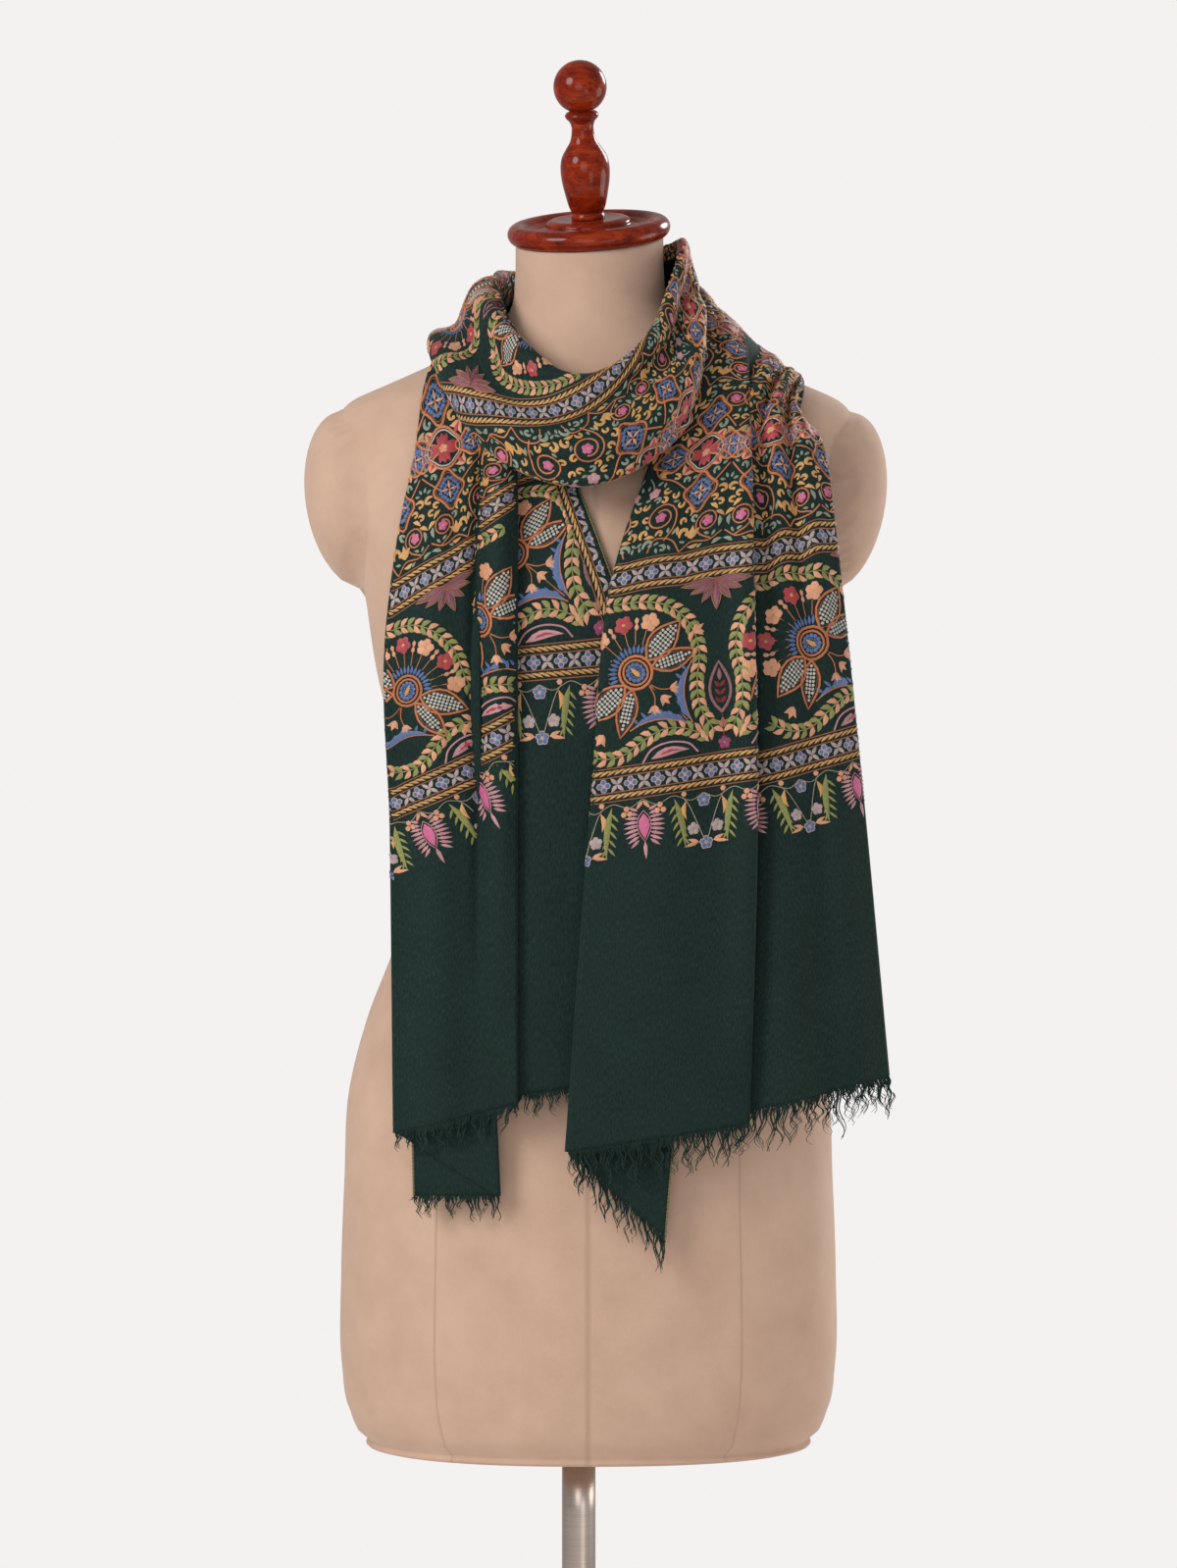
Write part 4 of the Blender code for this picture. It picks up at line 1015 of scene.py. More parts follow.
def band_points(turns, share):
    """The swept band at finer places: a cubic curve along each line of its grid, then across it."""
    along = smooth(turns, sweep_turns, sweep)
    return np.moveaxis(smooth(share, sweep_share, np.moveaxis(along, 1, 0)), 0, 1)


back_turns = np.linspace(0, BACK_END, BACK_LEVELS)
band_share = np.interp(np.linspace(0, 1, FINE_COLUMNS), np.linspace(0, 1, BAND_COLUMNS), sweep_share)
back_points = band_points(back_turns, band_share)
back_rows = back_turns / BACK_END * BACK_FLAT[1]
back_wrap = cloth_piece("shawl_back_wrap", back_points, band_share * BACK_FLAT[0], back_rows, pashmina)
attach(back_wrap, "root")
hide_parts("back_wrap")

# ---------------- the neck loop
# The same cloth as it comes forward round the left of the neck, falls across the chest as a loose roll over
# both ends and climbs the right of the neck.

LOOP_CREASES = (
    # from turn, share, to turn, share, half_width, depth
    (266, 0.36, 206, 0.50, 0.0060, -0.0065),
    (252, 0.30, 200, 0.40, 0.0070, 0.0050),
    (240, 0.52, 205, 0.60, 0.0070, 0.0040),
    (272, 0.42, 332, 0.47, 0.0065, -0.0045),
    (288, 0.56, 345, 0.54, 0.0080, 0.0045),
    (228, 0.68, 300, 0.64, 0.0070, -0.0040),
    (320, 0.36, 352, 0.62, 0.0060, -0.0035),
)
LOOP_ARC, BAND_ACROSS = 0.0016, 0.17  # metres of cloth for a degree along the roll, and round its section
LOOP_END, LOOP_LEVELS = 365, 126  # the turn that the roll ends at, and its rows
LOOP_FLAT = (0.18, 0.29)


def creased(points, turns, share, creases):
    """Presses troughs (a negative depth) and ridges along straight lines of a band's turn and share.

    Each falls off as a bell across its line and as a half sine towards its two ends.
    """
    at = np.stack(np.meshgrid(turns * LOOP_ARC, share * BAND_ACROSS, indexing="ij"), axis=-1)
    lift = np.zeros(points.shape[:2])
    for turn_a, share_a, turn_b, share_b, width, depth in creases:
        start = np.array([turn_a * LOOP_ARC, share_a * BAND_ACROSS])
        way = np.array([turn_b * LOOP_ARC, share_b * BAND_ACROSS]) - start
        along = ((at - start) @ way) / (way @ way)
        off = at - start - np.clip(along, 0, 1)[..., None] * way
        taper = np.sin(math.pi * np.clip(along * 0.86 + 0.07, 0, 1))
        lift += depth * taper * np.exp(-(off**2).sum(axis=-1) / width**2)
    return points + lift[..., None] * grid_normals(points)


loop_turns = np.linspace(BACK_END, LOOP_END, LOOP_LEVELS)
loop_points = creased(band_points(loop_turns, band_share), loop_turns, band_share, LOOP_CREASES)
loop_rows = (loop_turns - BACK_END) / (LOOP_END - BACK_END) * LOOP_FLAT[1]
neck_loop = cloth_piece("shawl_neck_loop", loop_points, band_share * LOOP_FLAT[0], loop_rows, pashmina)
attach(neck_loop, "root")
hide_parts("neck_loop")

# ---------------- the inner wrap
# The second pass behind the neck: the same twill, rolled narrower, which lies inside the first and close
# round the neck under the plate.

INNER_LEVELS, INNER_COLUMNS = 84, 73
INNER_FLAT = (0.11, 0.17)

inner_turns = np.linspace(LOOP_END, WRAP_END, INNER_LEVELS)
inner_share = np.interp(np.linspace(0, 1, INNER_COLUMNS), np.linspace(0, 1, BAND_COLUMNS), sweep_share)
inner_points = band_points(inner_turns, inner_share)
inner_rows = (inner_turns - LOOP_END) / (WRAP_END - LOOP_END) * INNER_FLAT[1]
inner_wrap = cloth_piece("shawl_inner_wrap", inner_points, inner_share * INNER_FLAT[0], inner_rows, pashmina)
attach(inner_wrap, "root")
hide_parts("inner_wrap")

# ---------------- the right end's embroidery
# Silk and fine wool thread worked by hand over the face of the cloth: padded satin leaves and petals, couched
# outlines and twisted rope lines. From the hem up: hanging sprigs, a narrow border, a broad one of palmettes
# in leaf garlands, a second narrow border, and an all-over field of scrolls, medallions and rosettes.

STITCH_BASE = 0.00025  # how far a stitch's edge stands off the cloth's face
NARROW_LOW, BROAD_LOW, NARROW_HIGH, FIELD_LOW = 244.0, 267.0, 385.0, 409.0  # mm from the hem
NARROW, BROAD = 23.0, 118.0  # how high the borders are
CELL, SPRIG = 115.0, 85.0  # how far apart palmettes and hanging sprigs stand
CORE_PLACE, CORE_HEIGHT = 58.0, 61.0  # a palmette's heart, from its cell's start and the broad border's foot
FIELD_HALF, FIELD_REPEAT = 60.0, 128.0
RIGHT_FRONT_SPAN, RIGHT_OUTER_SPAN = (0.0865, 0.2325), (0.2565, 0.3685)  # embroidered, across the cloth


def dye(red, green, blue):
    """A thread's colour, from display values out of 255 to the linear ones that a shader takes."""
    value = np.array([red, green, blue]) / 255
    return np.where(value <= 0.04045, value / 12.92, ((value + 0.055) / 1.055) ** 2.4)


OCHRE, UMBER, PEACH, OLIVE = dye(194, 146, 84), dye(104, 58, 38), dye(204, 146, 112), dye(126, 130, 66)
BLUE, LILAC, PINK, CRIMSON = dye(74, 98, 146), dye(164, 148, 148), dye(184, 88, 132), dye(160, 50, 58)
MAUVE, SAGE, CREAM, RUST = dye(178, 128, 136), dye(124, 138, 120), dye(182, 180, 172), dye(182, 106, 60)
SIENNA, STRAW = dye(138, 82, 50), dye(150, 140, 116)


def bundle(points, faces, colour):
    """One stitched element: points are across, along and height in mm; faces are triangles."""
    points, faces = np.asarray(points, float), np.asarray(faces, int)
    return {
        "points": points,
        "faces": faces,
        "element": np.zeros(len(points), int),
        "dyes": np.array([colour]),
        "thread": points[:, :2],
    }


def join(parts):
    """Several bundles as one."""
    joined = {key: np.concatenate([part[key] for part in parts]) for key in ("points", "dyes", "thread")}
    for key, counted in (("faces", "points"), ("element", "dyes")):
        starts = np.cumsum([0] + [len(part[counted]) for part in parts])
        joined[key] = np.concatenate([part[key] + start for part, start in zip(parts, starts)])
    return joined


def placed(part, x, y, angle=0.0, size=1.0, mirror=False):
    """A bundle turned by an angle, scaled, mirrored left to right if wanted, and set down at a place."""
    turn = math.radians(angle)
    points, faces = part["points"].copy(), part["faces"]
    if mirror:
        points[:, 0] *= -1
        faces = faces[:, ::-1]
    rotation = np.array([[math.cos(turn), math.sin(turn)], [-math.sin(turn), math.cos(turn)]])
    points[:, :2] = points[:, :2] @ rotation * size + np.array([x, y])
    return {**part, "points": points, "faces": faces}


def heading_of(degrees):
    """The unit direction at an angle from straight up, clockwise."""
    turn = math.radians(degrees)
    return np.array([math.sin(turn), math.cos(turn)])


def satin(middle, half, height, colour):
    """A padded strip: a middle line raised to height and its two sides, half away from it, on the cloth."""
    middle, half = np.asarray(middle, float), np.asarray(half, float)
    along = np.gradient(middle, axis=0)
    length = np.maximum(np.linalg.norm(along, axis=1), 1e-6)[:, None]
    side = np.stack([-along[:, 1], along[:, 0]], axis=1) / length
    count = len(middle)
    points = np.zeros((count, 3, 3))
    points[:, 0, :2], points[:, 1, :2], points[:, 2, :2] = middle + side * half, middle, middle - side * half
    points[:, 1, 2] = height
    first = 3 * np.arange(count - 1)[:, None, None]
    faces = first + np.array([[0, 1, 4], [0, 4, 3], [1, 2, 5], [1, 5, 4]])[None]
    return bundle(points.reshape(-1, 3), faces.reshape(-1, 3), colour)


def leaf(base, tip, width, colour, height=0.55, bend=0.0, steps=3):
    """A padded satin leaf or petal: a curved lens with a raised middle line, from its base to its tip."""
    base, tip = np.array(base, float), np.array(tip, float)
    along = np.linspace(0, 1, steps + 1)
    way = tip - base
    side = np.array([-way[1], way[0]]) / max(np.linalg.norm(way), 1e-6)
    middle = base + along[:, None] * way + (bend * 4 * along * (1 - along))[:, None] * side
    half = width / 2 * np.sin(math.pi * along**0.8)
    points = [(*middle[0], 0.0)]
    for k in range(1, steps):
        left, right = middle[k] + half[k] * side, middle[k] - half[k] * side
        points += [(*left, 0.0), (*middle[k], height), (*right, 0.0)]
    points.append((*middle[-1], 0.0))
    last = len(points) - 1
    faces = [(0, 2, 1), (0, 3, 2)]
    for k in range(steps - 2):
        a, b = 1 + 3 * k, 4 + 3 * k
        faces += [(a, a + 1, b + 1), (a, b + 1, b), (a + 1, a + 2, b + 2), (a + 1, b + 2, b + 1)]
    faces += [(last - 3, last - 2, last), (last - 2, last - 1, last)]
    return bundle(points, faces, colour)


def couched(path, width, colour, height=0.45, closed=False):
    """A line of couched thread along a path: a low ridge."""
    path = np.asarray(path, float)
    if closed:
        path = np.vstack([path, path[:1]])
    return satin(path, np.full((len(path), 1), width / 2), height, colour)


def knot(x, y, radius, colour, height=0.5, sides=6):
    """A round padded dot."""
    turns = full_turn(sides)
    rim = np.stack([x + radius * np.cos(turns), y + radius * np.sin(turns), np.zeros(sides)], axis=1)
    faces = [(sides, i, (i + 1) % sides) for i in range(sides)]
    return bundle(np.vstack([rim, [[x, y, height]]]), faces, colour)


def curve(*stops, steps=5):
    """A smooth path through stops, in mm."""
    stops = np.array(stops, float)
    at = np.linspace(0, len(stops) - 1, steps * (len(stops) - 1) + 1)
    return smooth(at, np.arange(len(stops)), stops)


def lens(base, tip, width, count=6):
    """The outline of a pointed petal."""
    base, tip = np.array(base, float), np.array(tip, float)
    along = np.linspace(0, 1, count + 1)
    way = tip - base
    side = np.array([-way[1], way[0]]) / np.linalg.norm(way)
    half = (width / 2 * np.sin(math.pi * along**0.85))[:, None] * side
    middle = base + along[:, None] * way
    return np.vstack([middle + half, (middle - half)[-2:0:-1]])


def blossom(petals, radius, colour, heart, rim=None):
    """A small round flower: a ring of padded petals, outlined in the rim's thread if any, and its heart."""
    parts = []
    for turn in full_turn(petals) + math.pi / 2:
        x, y = radius * 0.56 * math.cos(turn), radius * 0.56 * math.sin(turn)
        if rim is not None:
            parts.append(knot(x, y, radius * 0.50, rim, 0.25))
        parts.append(knot(x, y, radius * (0.40 if rim is not None else 0.47), colour, 0.62))
    parts.append(knot(0, 0, radius * 0.20, heart, 0.8))
    return join(parts)


def rope(length):
    """A twisted line: long slanting ochre strokes between two fine couched lines, along x from 0."""
    parts = [leaf((x, -1.7), (x + 8.6, 1.7), 1.9, OCHRE, 0.65, bend=0.5) for x in np.arange(0, length, 4.9)]
    x = np.arange(0, length + 4, 4)
    for y in (3.1, -3.1):
        parts.append(couched(np.stack([x, np.full(len(x), y)], axis=1), 0.8, SIENNA))
    return join(parts)


def narrow_border(length):
    """A row of small blue flowers and pale crosses between two ropes, NARROW high."""
    flower = blossom(4, 4.7, BLUE, OCHRE, LILAC)
    cross = join([leaf((0, 0), (4.4 * a, 5.0 * b), 3.0, LILAC) for a in (-1, 1) for b in (-1, 1)])
    parts = [placed(rope(length), 0, 3.2), placed(rope(length), 0, NARROW - 3.2)]
    for k, x in enumerate(np.arange(4.5, length, 9.4)):
        parts.append(placed(cross if k % 2 else flower, x, NARROW / 2))
    return join(parts)


def garland(path, spacing=5.9, length=8.8, width=4.0):
    """Pairs of leaves along a stem, olive and peach by turns."""
    path = np.asarray(path, float)
    reach = lengths_along(path)
    parts = [couched(path, 0.8, OLIVE, 0.3)]
    for k, at in enumerate(np.arange(0, reach[-1] - 1, spacing)):
        here, ahead = points_along([at, at + 1], reach, path)
        heading = math.degrees(math.atan2(ahead[1] - here[1], ahead[0] - here[0]))
        for side in (-1, 1):
            one = leaf((0.4, 0), (length, 0), width, PEACH if k % 2 else OLIVE, bend=0.7 * side)
            parts.append(placed(one, *here, heading + 36 * side))
    return join(parts)


def crescent(base, tip, bend, width, colour, rim, teeth=6):
    """A curved leaf with a saw edge, outlined on its outer side."""
    base, tip = np.array(base, float), np.array(tip, float)
    way = tip - base
    side = np.array([-way[1], way[0]]) / np.linalg.norm(way)
    parts = [leaf(base, tip, width, colour, bend=bend, steps=5)]
    for at in np.linspace(0.12, 0.86, teeth):
        on = base + at * way + bend * 4 * at * (1 - at) * side
        out = side * math.copysign(1, bend)
        parts.append(leaf(on, on + out * width * 0.85 + way / np.linalg.norm(way) * 4.0, 2.2, colour))
    along = np.linspace(0, 1, 8)[:, None]
    inner = (bend - math.copysign(width * 0.42, bend)) * 4 * along * (1 - along)
    return join(parts + [couched(base + along * way + inner * side, 0.9, rim, 0.6)])


def dotted(base, tip, width, inset=2.3, pitch=2.5):
    """The pale dots that fill a pointed petal."""
    length = np.linalg.norm(np.subtract(tip, base))
    way = np.subtract(tip, base) / length
    across = np.array([-way[1], way[0]])
    parts = []
    for at in np.arange(3.6, length - 3, pitch):
        room = width * 0.5 * math.sin(math.pi * (at / length) ** 0.85) - inset
        for off in np.arange(-3, 4) * pitch * 0.92:
            if abs(off) <= room:
                parts.append(knot(*(base + way * at + across * off), 1.12, CREAM, 0.5, 5))
    return join(parts)


def tulip(colour=CRIMSON, other=PEACH):
    """A three-leaved bud, its foot at the origin."""
    sides = [leaf((0, 0), (5.4 * side, 7.0), 4.0, other, bend=1.0 * side) for side in (-1, 1)]
    return join([leaf((0, 0), (0, 10), 4.2, colour, 0.7), *sides])


def palmette():
    """A great flower in profile, about 66 mm tall, its crown up.

    A drop filled with dots, four outlined petals, a toothed crown, a fan of blossoms on fine stems and two
    saw-edged leaves that curl up from its foot.
    """
    ring = np.array([heading_of(turn) for turn in np.arange(0, 360, 22.5)])
    parts = [
        couched(ring * [10.6, 11.2] + [0, 1], 1.7, RUST, 0.6, closed=True),
        couched(ring * [7.8, 8.6] + [0, 1], 1.4, RUST, 0.6, closed=True),
        leaf((0, -3.5), (0, 6.0), 3.4, OCHRE, 0.8),
    ]
    for turn in range(0, 360, 30):
        parts.append(knot(*(heading_of(turn) * [4.9, 5.7] + [0, 1]), 1.5, BLUE, 0.6))
        parts.append(knot(*(heading_of(turn + 15) * [2.8, 3.6] + [0, 1]), 0.8, BLUE, 0.5, 5))
    for side in (-1, 1):
        for angle, length, width in ((86, 33, 17.5), (118, 32, 13.5)):
            way = heading_of(side * angle)
            base, tip = way * 10.5, way * (10.5 + length)
            parts.append(couched(lens(base, tip, width), 1.5, RUST, 0.6, closed=True))
            inner = lens(base + way, tip - way * 3.0, width * 0.74)
            parts.append(couched(inner, 0.7, UMBER, 0.4, closed=True))
            parts.append(dotted(base, tip, width))
        bud = heading_of(side * 103) * 44
        parts.append(placed(tulip(PEACH), *bud, -100 * side, 0.9))
    for turn in np.linspace(-63, 63, 13):
        way = heading_of(turn)
        parts.append(leaf(way * 12.0 + (0, 1), way * 18.5 + (0, 1), 2.3, BLUE, 0.6))
    for turn in (-60, -45, -30, -15, 0, 15, 30, 45, 60):
        way = heading_of(turn)
        parts.append(couched([way * 18 + (0, 1), way * 28 + (0, 1)], 0.6, RUST, 0.3))
    for k, turn in enumerate((-60, -30, 0, 30, 60)):
        parts.append(placed(blossom(5, 6.3, CRIMSON if k % 2 else PEACH, OCHRE), *(heading_of(turn) * 34)))
        if k < 4:
            bud = heading_of(turn + 15)
            parts += [leaf(bud * 28, bud * 33, 3.0, PEACH), leaf(bud * 37, bud * 32, 3.0, PEACH)]
    for side in (-1, 1):
        parts.append(crescent((side * 1.0, -50), (side * 30, -22), 8 * side, 5.6, BLUE, RUST))
        parts.append(couched(curve((side * 0.5, -12), (side * 3, -19), (side * 8, -24)), 0.7, RUST))
        parts.append(placed(tulip(PEACH), side * 7, -23, -130 * side, 0.8))
    parts += [couched([(0, -12), (0, -46)], 0.8, RUST), placed(tulip(PEACH), 0, -22, 180, 0.8)]
    return join(parts)


def drop_leaf(length=34.0, width=15.0):
    """A mauve pointed leaf with chevrons inside its outline, its tip up."""
    parts = [couched(lens((0, 0), (0, length), width, 8), 2.0, MAUVE, 0.6, closed=True)]
    for y in np.arange(6, length - 12, 5.4):
        for side in (-1, 1):
            parts.append(leaf((0, y), (side * width * 0.26, y + 4.2), 2.8, CRIMSON))
    return join(parts + [leaf((0, length - 13), (0, length - 4.5), 3.4, MAUVE)])


def pendant():
    """A mauve palmette that hangs from the narrow border, tip down, each petal outlined, about 60 mm wide."""
    parts = []
    petals = [((0, -3), (0, -28), 8.4)]
    for side in (-1, 1):
        petals += [((side, -5), (side * 13, -20), 6.4), ((side, -4), (side * 23, -11), 6.8)]
        petals.append(((side, -2), (side * 31, -3), 7.6))
    for base, tip, width in petals:
        parts.append(leaf(base, tip, width * 0.80, MAUVE, 1.0, steps=8))
        parts.append(leaf(base, np.multiply(tip, 0.72), width * 0.34, PINK, 1.4, steps=6))
        parts.append(couched(lens(base, tip, width, 8), 1.0, PEACH, 0.8, closed=True))
    return join(parts + [placed(blossom(5, 3.4, PINK, CREAM, PEACH), 0, -3.5)])


def broad_border(cells, lean=42.0, first=0):
    """Palmettes that lean in cells framed by leaf garlands, with a drop leaf on each axis between two cells.

    Each cell is CELL wide and BROAD high. Its frame is the mirror of its neighbour's.
    """
    right = [(8, 109), (34, 111), (60, 110), (82, 104), (96, 90), (102, 70), (99, 50), (100, 32), (109, 14)]
    low = [(104, 12), (87, 20), (72, 21), (56, 14), (42, 7), (26, 8), (12, 18)]
    half_leaf = join(
        [
            couched(curve((0, 0), (10, 11), (27, 15), (45, 11), (54, 1)), 1.7, MAUVE, 0.6),
            leaf((8, 2), (46, 5), 8.0, MAUVE, 0.5, bend=3.6, steps=5),
            leaf((14, 3), (40, 5), 4.0, CRIMSON, 0.9, bend=3.2, steps=4),
        ]
    )
    frame_parts = [
        garland(curve(*right, steps=4)),
        garland(curve(*low, steps=4)),
        placed(half_leaf, 57, 0.5, 2, 0.72),
        leaf((104, 8), (99, 18), 4.4, PEACH, bend=1.0),
    ]
    parts = []
    for cell in range(first, first + cells):
        mirror, x = bool(cell % 2), cell * CELL
        start, axis = (x + CELL, x) if mirror else (x, x + CELL)
        parts.append(placed(join(frame_parts), start, 0, mirror=mirror))
        middle = start + (-CORE_PLACE if mirror else CORE_PLACE)
        parts.append(placed(palmette(), middle, CORE_HEIGHT, lean, 1.04))
        parts += [placed(drop_leaf(), axis, 27), placed(pendant(), axis, BROAD + 0.5, 0, 0.8)]
        parts.append(placed(tulip(PEACH), axis, 16, 0, 0.8))
        parts.append(placed(blossom(5, 4.6, PINK, CREAM), axis, 6))
        parts.append(couched([(axis, 27), (axis, 10)], 0.8, CRIMSON))
    return join(parts)


def lotus():
    """A spiky mauve flower that hangs by its stem, about 40 mm long, with a pink heart."""
    parts = [leaf((0, -9), (0, -27), 8.0, PINK, 0.9, steps=4), leaf((0, -28), (0, -41), 2.8, MAUVE)]
    parts.append(couched(lens((0, -7), (0, -29), 10.0), 0.7, MAUVE, 0.5, closed=True))
    for y in np.linspace(-7, -27, 9):
        reach = 7 + 7.5 * math.sin(math.pi * (-y - 3) / 28)
        for side in (-1, 1):
            parts.append(leaf((side * 3.6, y), (side * reach, y + 6 - 0.42 * (-y)), 2.3, MAUVE, 0.55))
    return join(parts)


def saw_leaf(length=36.0):
    """A hanging olive leaf with a saw edge, its base at the origin."""
    parts = [leaf((0, 0), (6.0, -length), 4.6, OLIVE, 0.6, bend=1.6, steps=5)]
    for at in np.linspace(0.12, 0.76, 5):
        for side in (-1, 1):
            foot = (6 * at, -length * at)
            parts.append(leaf(foot, (foot[0] + side * 4.8, foot[1] - 6.6), 1.9, OLIVE, 0.4))
    return join(parts)


def sprig_row(repeats, first=0):
    """Flowers, saw-edged leaves and buds on a vine below the border, SPRIG apart; its top is at y = 0."""
    parts = []
    for k in range(first, first + repeats):
        x = SPRIG * k
        mid = x + SPRIG / 2
        parts.append(placed(lotus(), x, -2))
        parts += [leaf((x, -2), (x + 5 * s, -8), 2.8, PEACH) for s in (-1, 1)]
        for side, end in ((1, x), (-1, x + SPRIG)):
            stem = [(end, -1), (end + 10 * side, -6), (end + 21 * side, -2), (end + 33 * side, -7), (mid, -3)]
            parts.append(couched(curve(*stem), 0.6, STRAW))
        for side in (-1, 1):
            parts.append(placed(saw_leaf(), mid + side * 21, -4, mirror=side > 0))
            tendril = curve((mid + side * 15, -4), (mid + side * 10, -12), (mid + side, -36))
            parts.append(couched(tendril, 0.6, STRAW))
            hang = mid + side * 13
            parts.append(leaf((hang, -7), (hang, -20), 3.6, OCHRE, 0.6, bend=side * 2.0))
            parts.append(placed(blossom(5, 4.6, LILAC, MAUVE), mid + side * 8.5, -27))
            for out, down in ((16, -39), (13, -34)):
                parts.append(leaf((mid + side * 5, -37), (mid + side * out, down), 2.8, PEACH))
            parts.append(placed(blossom(3, 4.4, PEACH, CRIMSON), mid + side * 31, -9))
            parts.append(knot(mid + side * 14, -2, 2.0, PEACH))
        parts += [placed(blossom(5, 4.8, BLUE, OCHRE, LILAC), mid, y) for y in (-8, -38)]
    return join(parts)


def scroll(radius, turns=1.35):
    """A spiral vine round a pink blossom, entering from below at x = -radius."""
    at = np.linspace(0, 1, 22)
    angle = math.pi - at * turns * 2 * math.pi
    reach = radius * (1 - 0.52 * at)
    path = np.stack([reach * np.cos(angle), reach * np.sin(angle)], axis=1)
    stem = curve((-radius + 7, -radius * 1.7), (-radius + 1.2, -radius * 0.8), (-radius, 0), steps=3)
    line = np.vstack([stem[:-1], path])
    return join([couched(line, 1.1, RUST), placed(blossom(5, 3.8, PINK, OCHRE), 0.5, 0)])


def hook(size=13.0, colour=OCHRE):
    """A comma-shaped leaf with a curled head, its foot at the origin."""
    at = np.linspace(0, 1, 8)
    heading = np.radians(96 - 215 * at**1.8)
    path = np.cumsum(np.stack([np.cos(heading), np.sin(heading)], axis=1) * size / 7, axis=0)
    half = (0.4 + 0.085 * size * np.sin(math.pi * at**0.9))[:, None]
    return join([satin(path, half, 0.55, colour), knot(*path[-1], 0.12 * size, colour, 0.6)])


def vine(length, side):
    """A spray of the field: a fine stem that curls to one side, with slim leaves and a bud at its head."""
    at = np.linspace(0, 1, 9)
    heading = np.radians(90 - side * (150 * at**1.5 - 20))
    step = np.stack([np.cos(heading), np.sin(heading)], axis=1) * length / 9
    path = np.cumsum(step, axis=0)
    parts = [couched(path, 0.8, RUST, 0.35), knot(*path[-1], 1.5, PEACH, 0.6)]
    for k in range(1, 8, 2):
        way = math.degrees(heading[k])
        for turn, colour in ((42, OCHRE), (-42, SAGE if k % 4 == 1 else OCHRE)):
            one = leaf((0, 0), (6.4, 0), 2.4, colour, bend=0.8 * math.copysign(1, turn))
            parts.append(placed(one, *path[k], way + turn))
    return join(parts)


def medallion():
    """A blue four-pointed medallion in an orange outline, with a pale cross, about 31 mm high."""
    turns = full_turn(32)
    reach = 9.2 + 4.6 * np.abs(np.cos(2 * turns)) ** 3 + 0.9 * np.abs(np.sin(2 * turns))
    shape = np.stack([reach * np.sin(turns) * 0.90, reach * np.cos(turns) * 1.12], axis=1)
    parts = [couched(shape, 1.8, RUST, 0.6, closed=True), couched(shape * 0.84, 0.8, UMBER, 0.4, closed=True)]
    for turn in range(0, 360, 20):
        size = 6.4 + 1.7 * abs(math.cos(math.radians(2 * turn)))
        parts.append(knot(*(heading_of(turn) * size * [0.9, 1.1]), 1.5, BLUE, 0.55))
    for turn in range(45, 405, 90):
        parts += [knot(*(heading_of(turn + off) * 3.9), 1.3, BLUE, 0.55) for off in (-18, 18)]
    return join(parts + [leaf((0, 0), heading_of(turn) * 7.4, 2.0, PEACH, 0.8) for turn in range(0, 360, 90)])


def rosette():
    """A crimson four-petalled flower edged with pale loops, in an orange outline, about 30 mm across."""
    turns = full_turn(28)
    reach = 12.2 + 2.2 * np.abs(np.cos(2 * turns))
    shape = np.stack([reach * np.sin(turns), reach * np.cos(turns)], axis=1)
    parts = [couched(shape, 1.7, RUST, 0.6, closed=True), couched(shape * 0.86, 1.0, CREAM, 0.5, closed=True)]
    for turn in range(0, 360, 90):
        for off, width in ((-22, 4.4), (0, 5.4), (22, 4.4)):
            way = heading_of(turn + off)
            parts.append(leaf(way * 1.6, way * 10.6, width, CRIMSON, 0.7))
    return join(parts + [placed(blossom(5, 3.4, PEACH, OCHRE), 0, 0)])


def marked(ground, x, y):
    """Whether any of some places in mm lies on marked ground or past its edges."""
    i, j = np.floor(x).astype(int), np.floor(y).astype(int)
    inside = (i >= 0) & (j >= 0) & (i < ground.shape[0]) & (j < ground.shape[1])
    return not inside.all() or ground[i, j].any()


def sown(part, width, height, sprays, tries, seed):
    """A bundle with small sprays added wherever its width by height still has room for one."""
    chance = np.random.default_rng(seed)
    ground = np.zeros((int(width), int(height)), bool)
    corners = part["points"][part["faces"]][:, :, :2]
    for share in ((1, 0, 0), (0, 1, 0), (0, 0, 1), (1 / 3, 1 / 3, 1 / 3), (0.5, 0.5, 0), (0, 0.5, 0.5)):
        spots = np.tensordot(corners, share, axes=([1], [0])).astype(int)
        on = (spots >= 0).all(axis=1) & (spots[:, 0] < ground.shape[0]) & (spots[:, 1] < ground.shape[1])
        ground[spots[on, 0], spots[on, 1]] = True
    parts = [part]
    for pick, x, y, angle in chance.uniform(0, 1, (tries, 4)) * [len(sprays), width, height, 360]:
        one = placed(sprays[int(pick)], x, y, angle)
        places = np.concatenate([one["points"][:, :2], one["points"][one["faces"]][:, :, :2].mean(axis=1)])
        if not marked(ground, places[:, 0], places[:, 1]):
            parts.append(one)
            spots = places.astype(int)
            ground[spots[:, 0], spots[:, 1]] = True
    return join(parts)


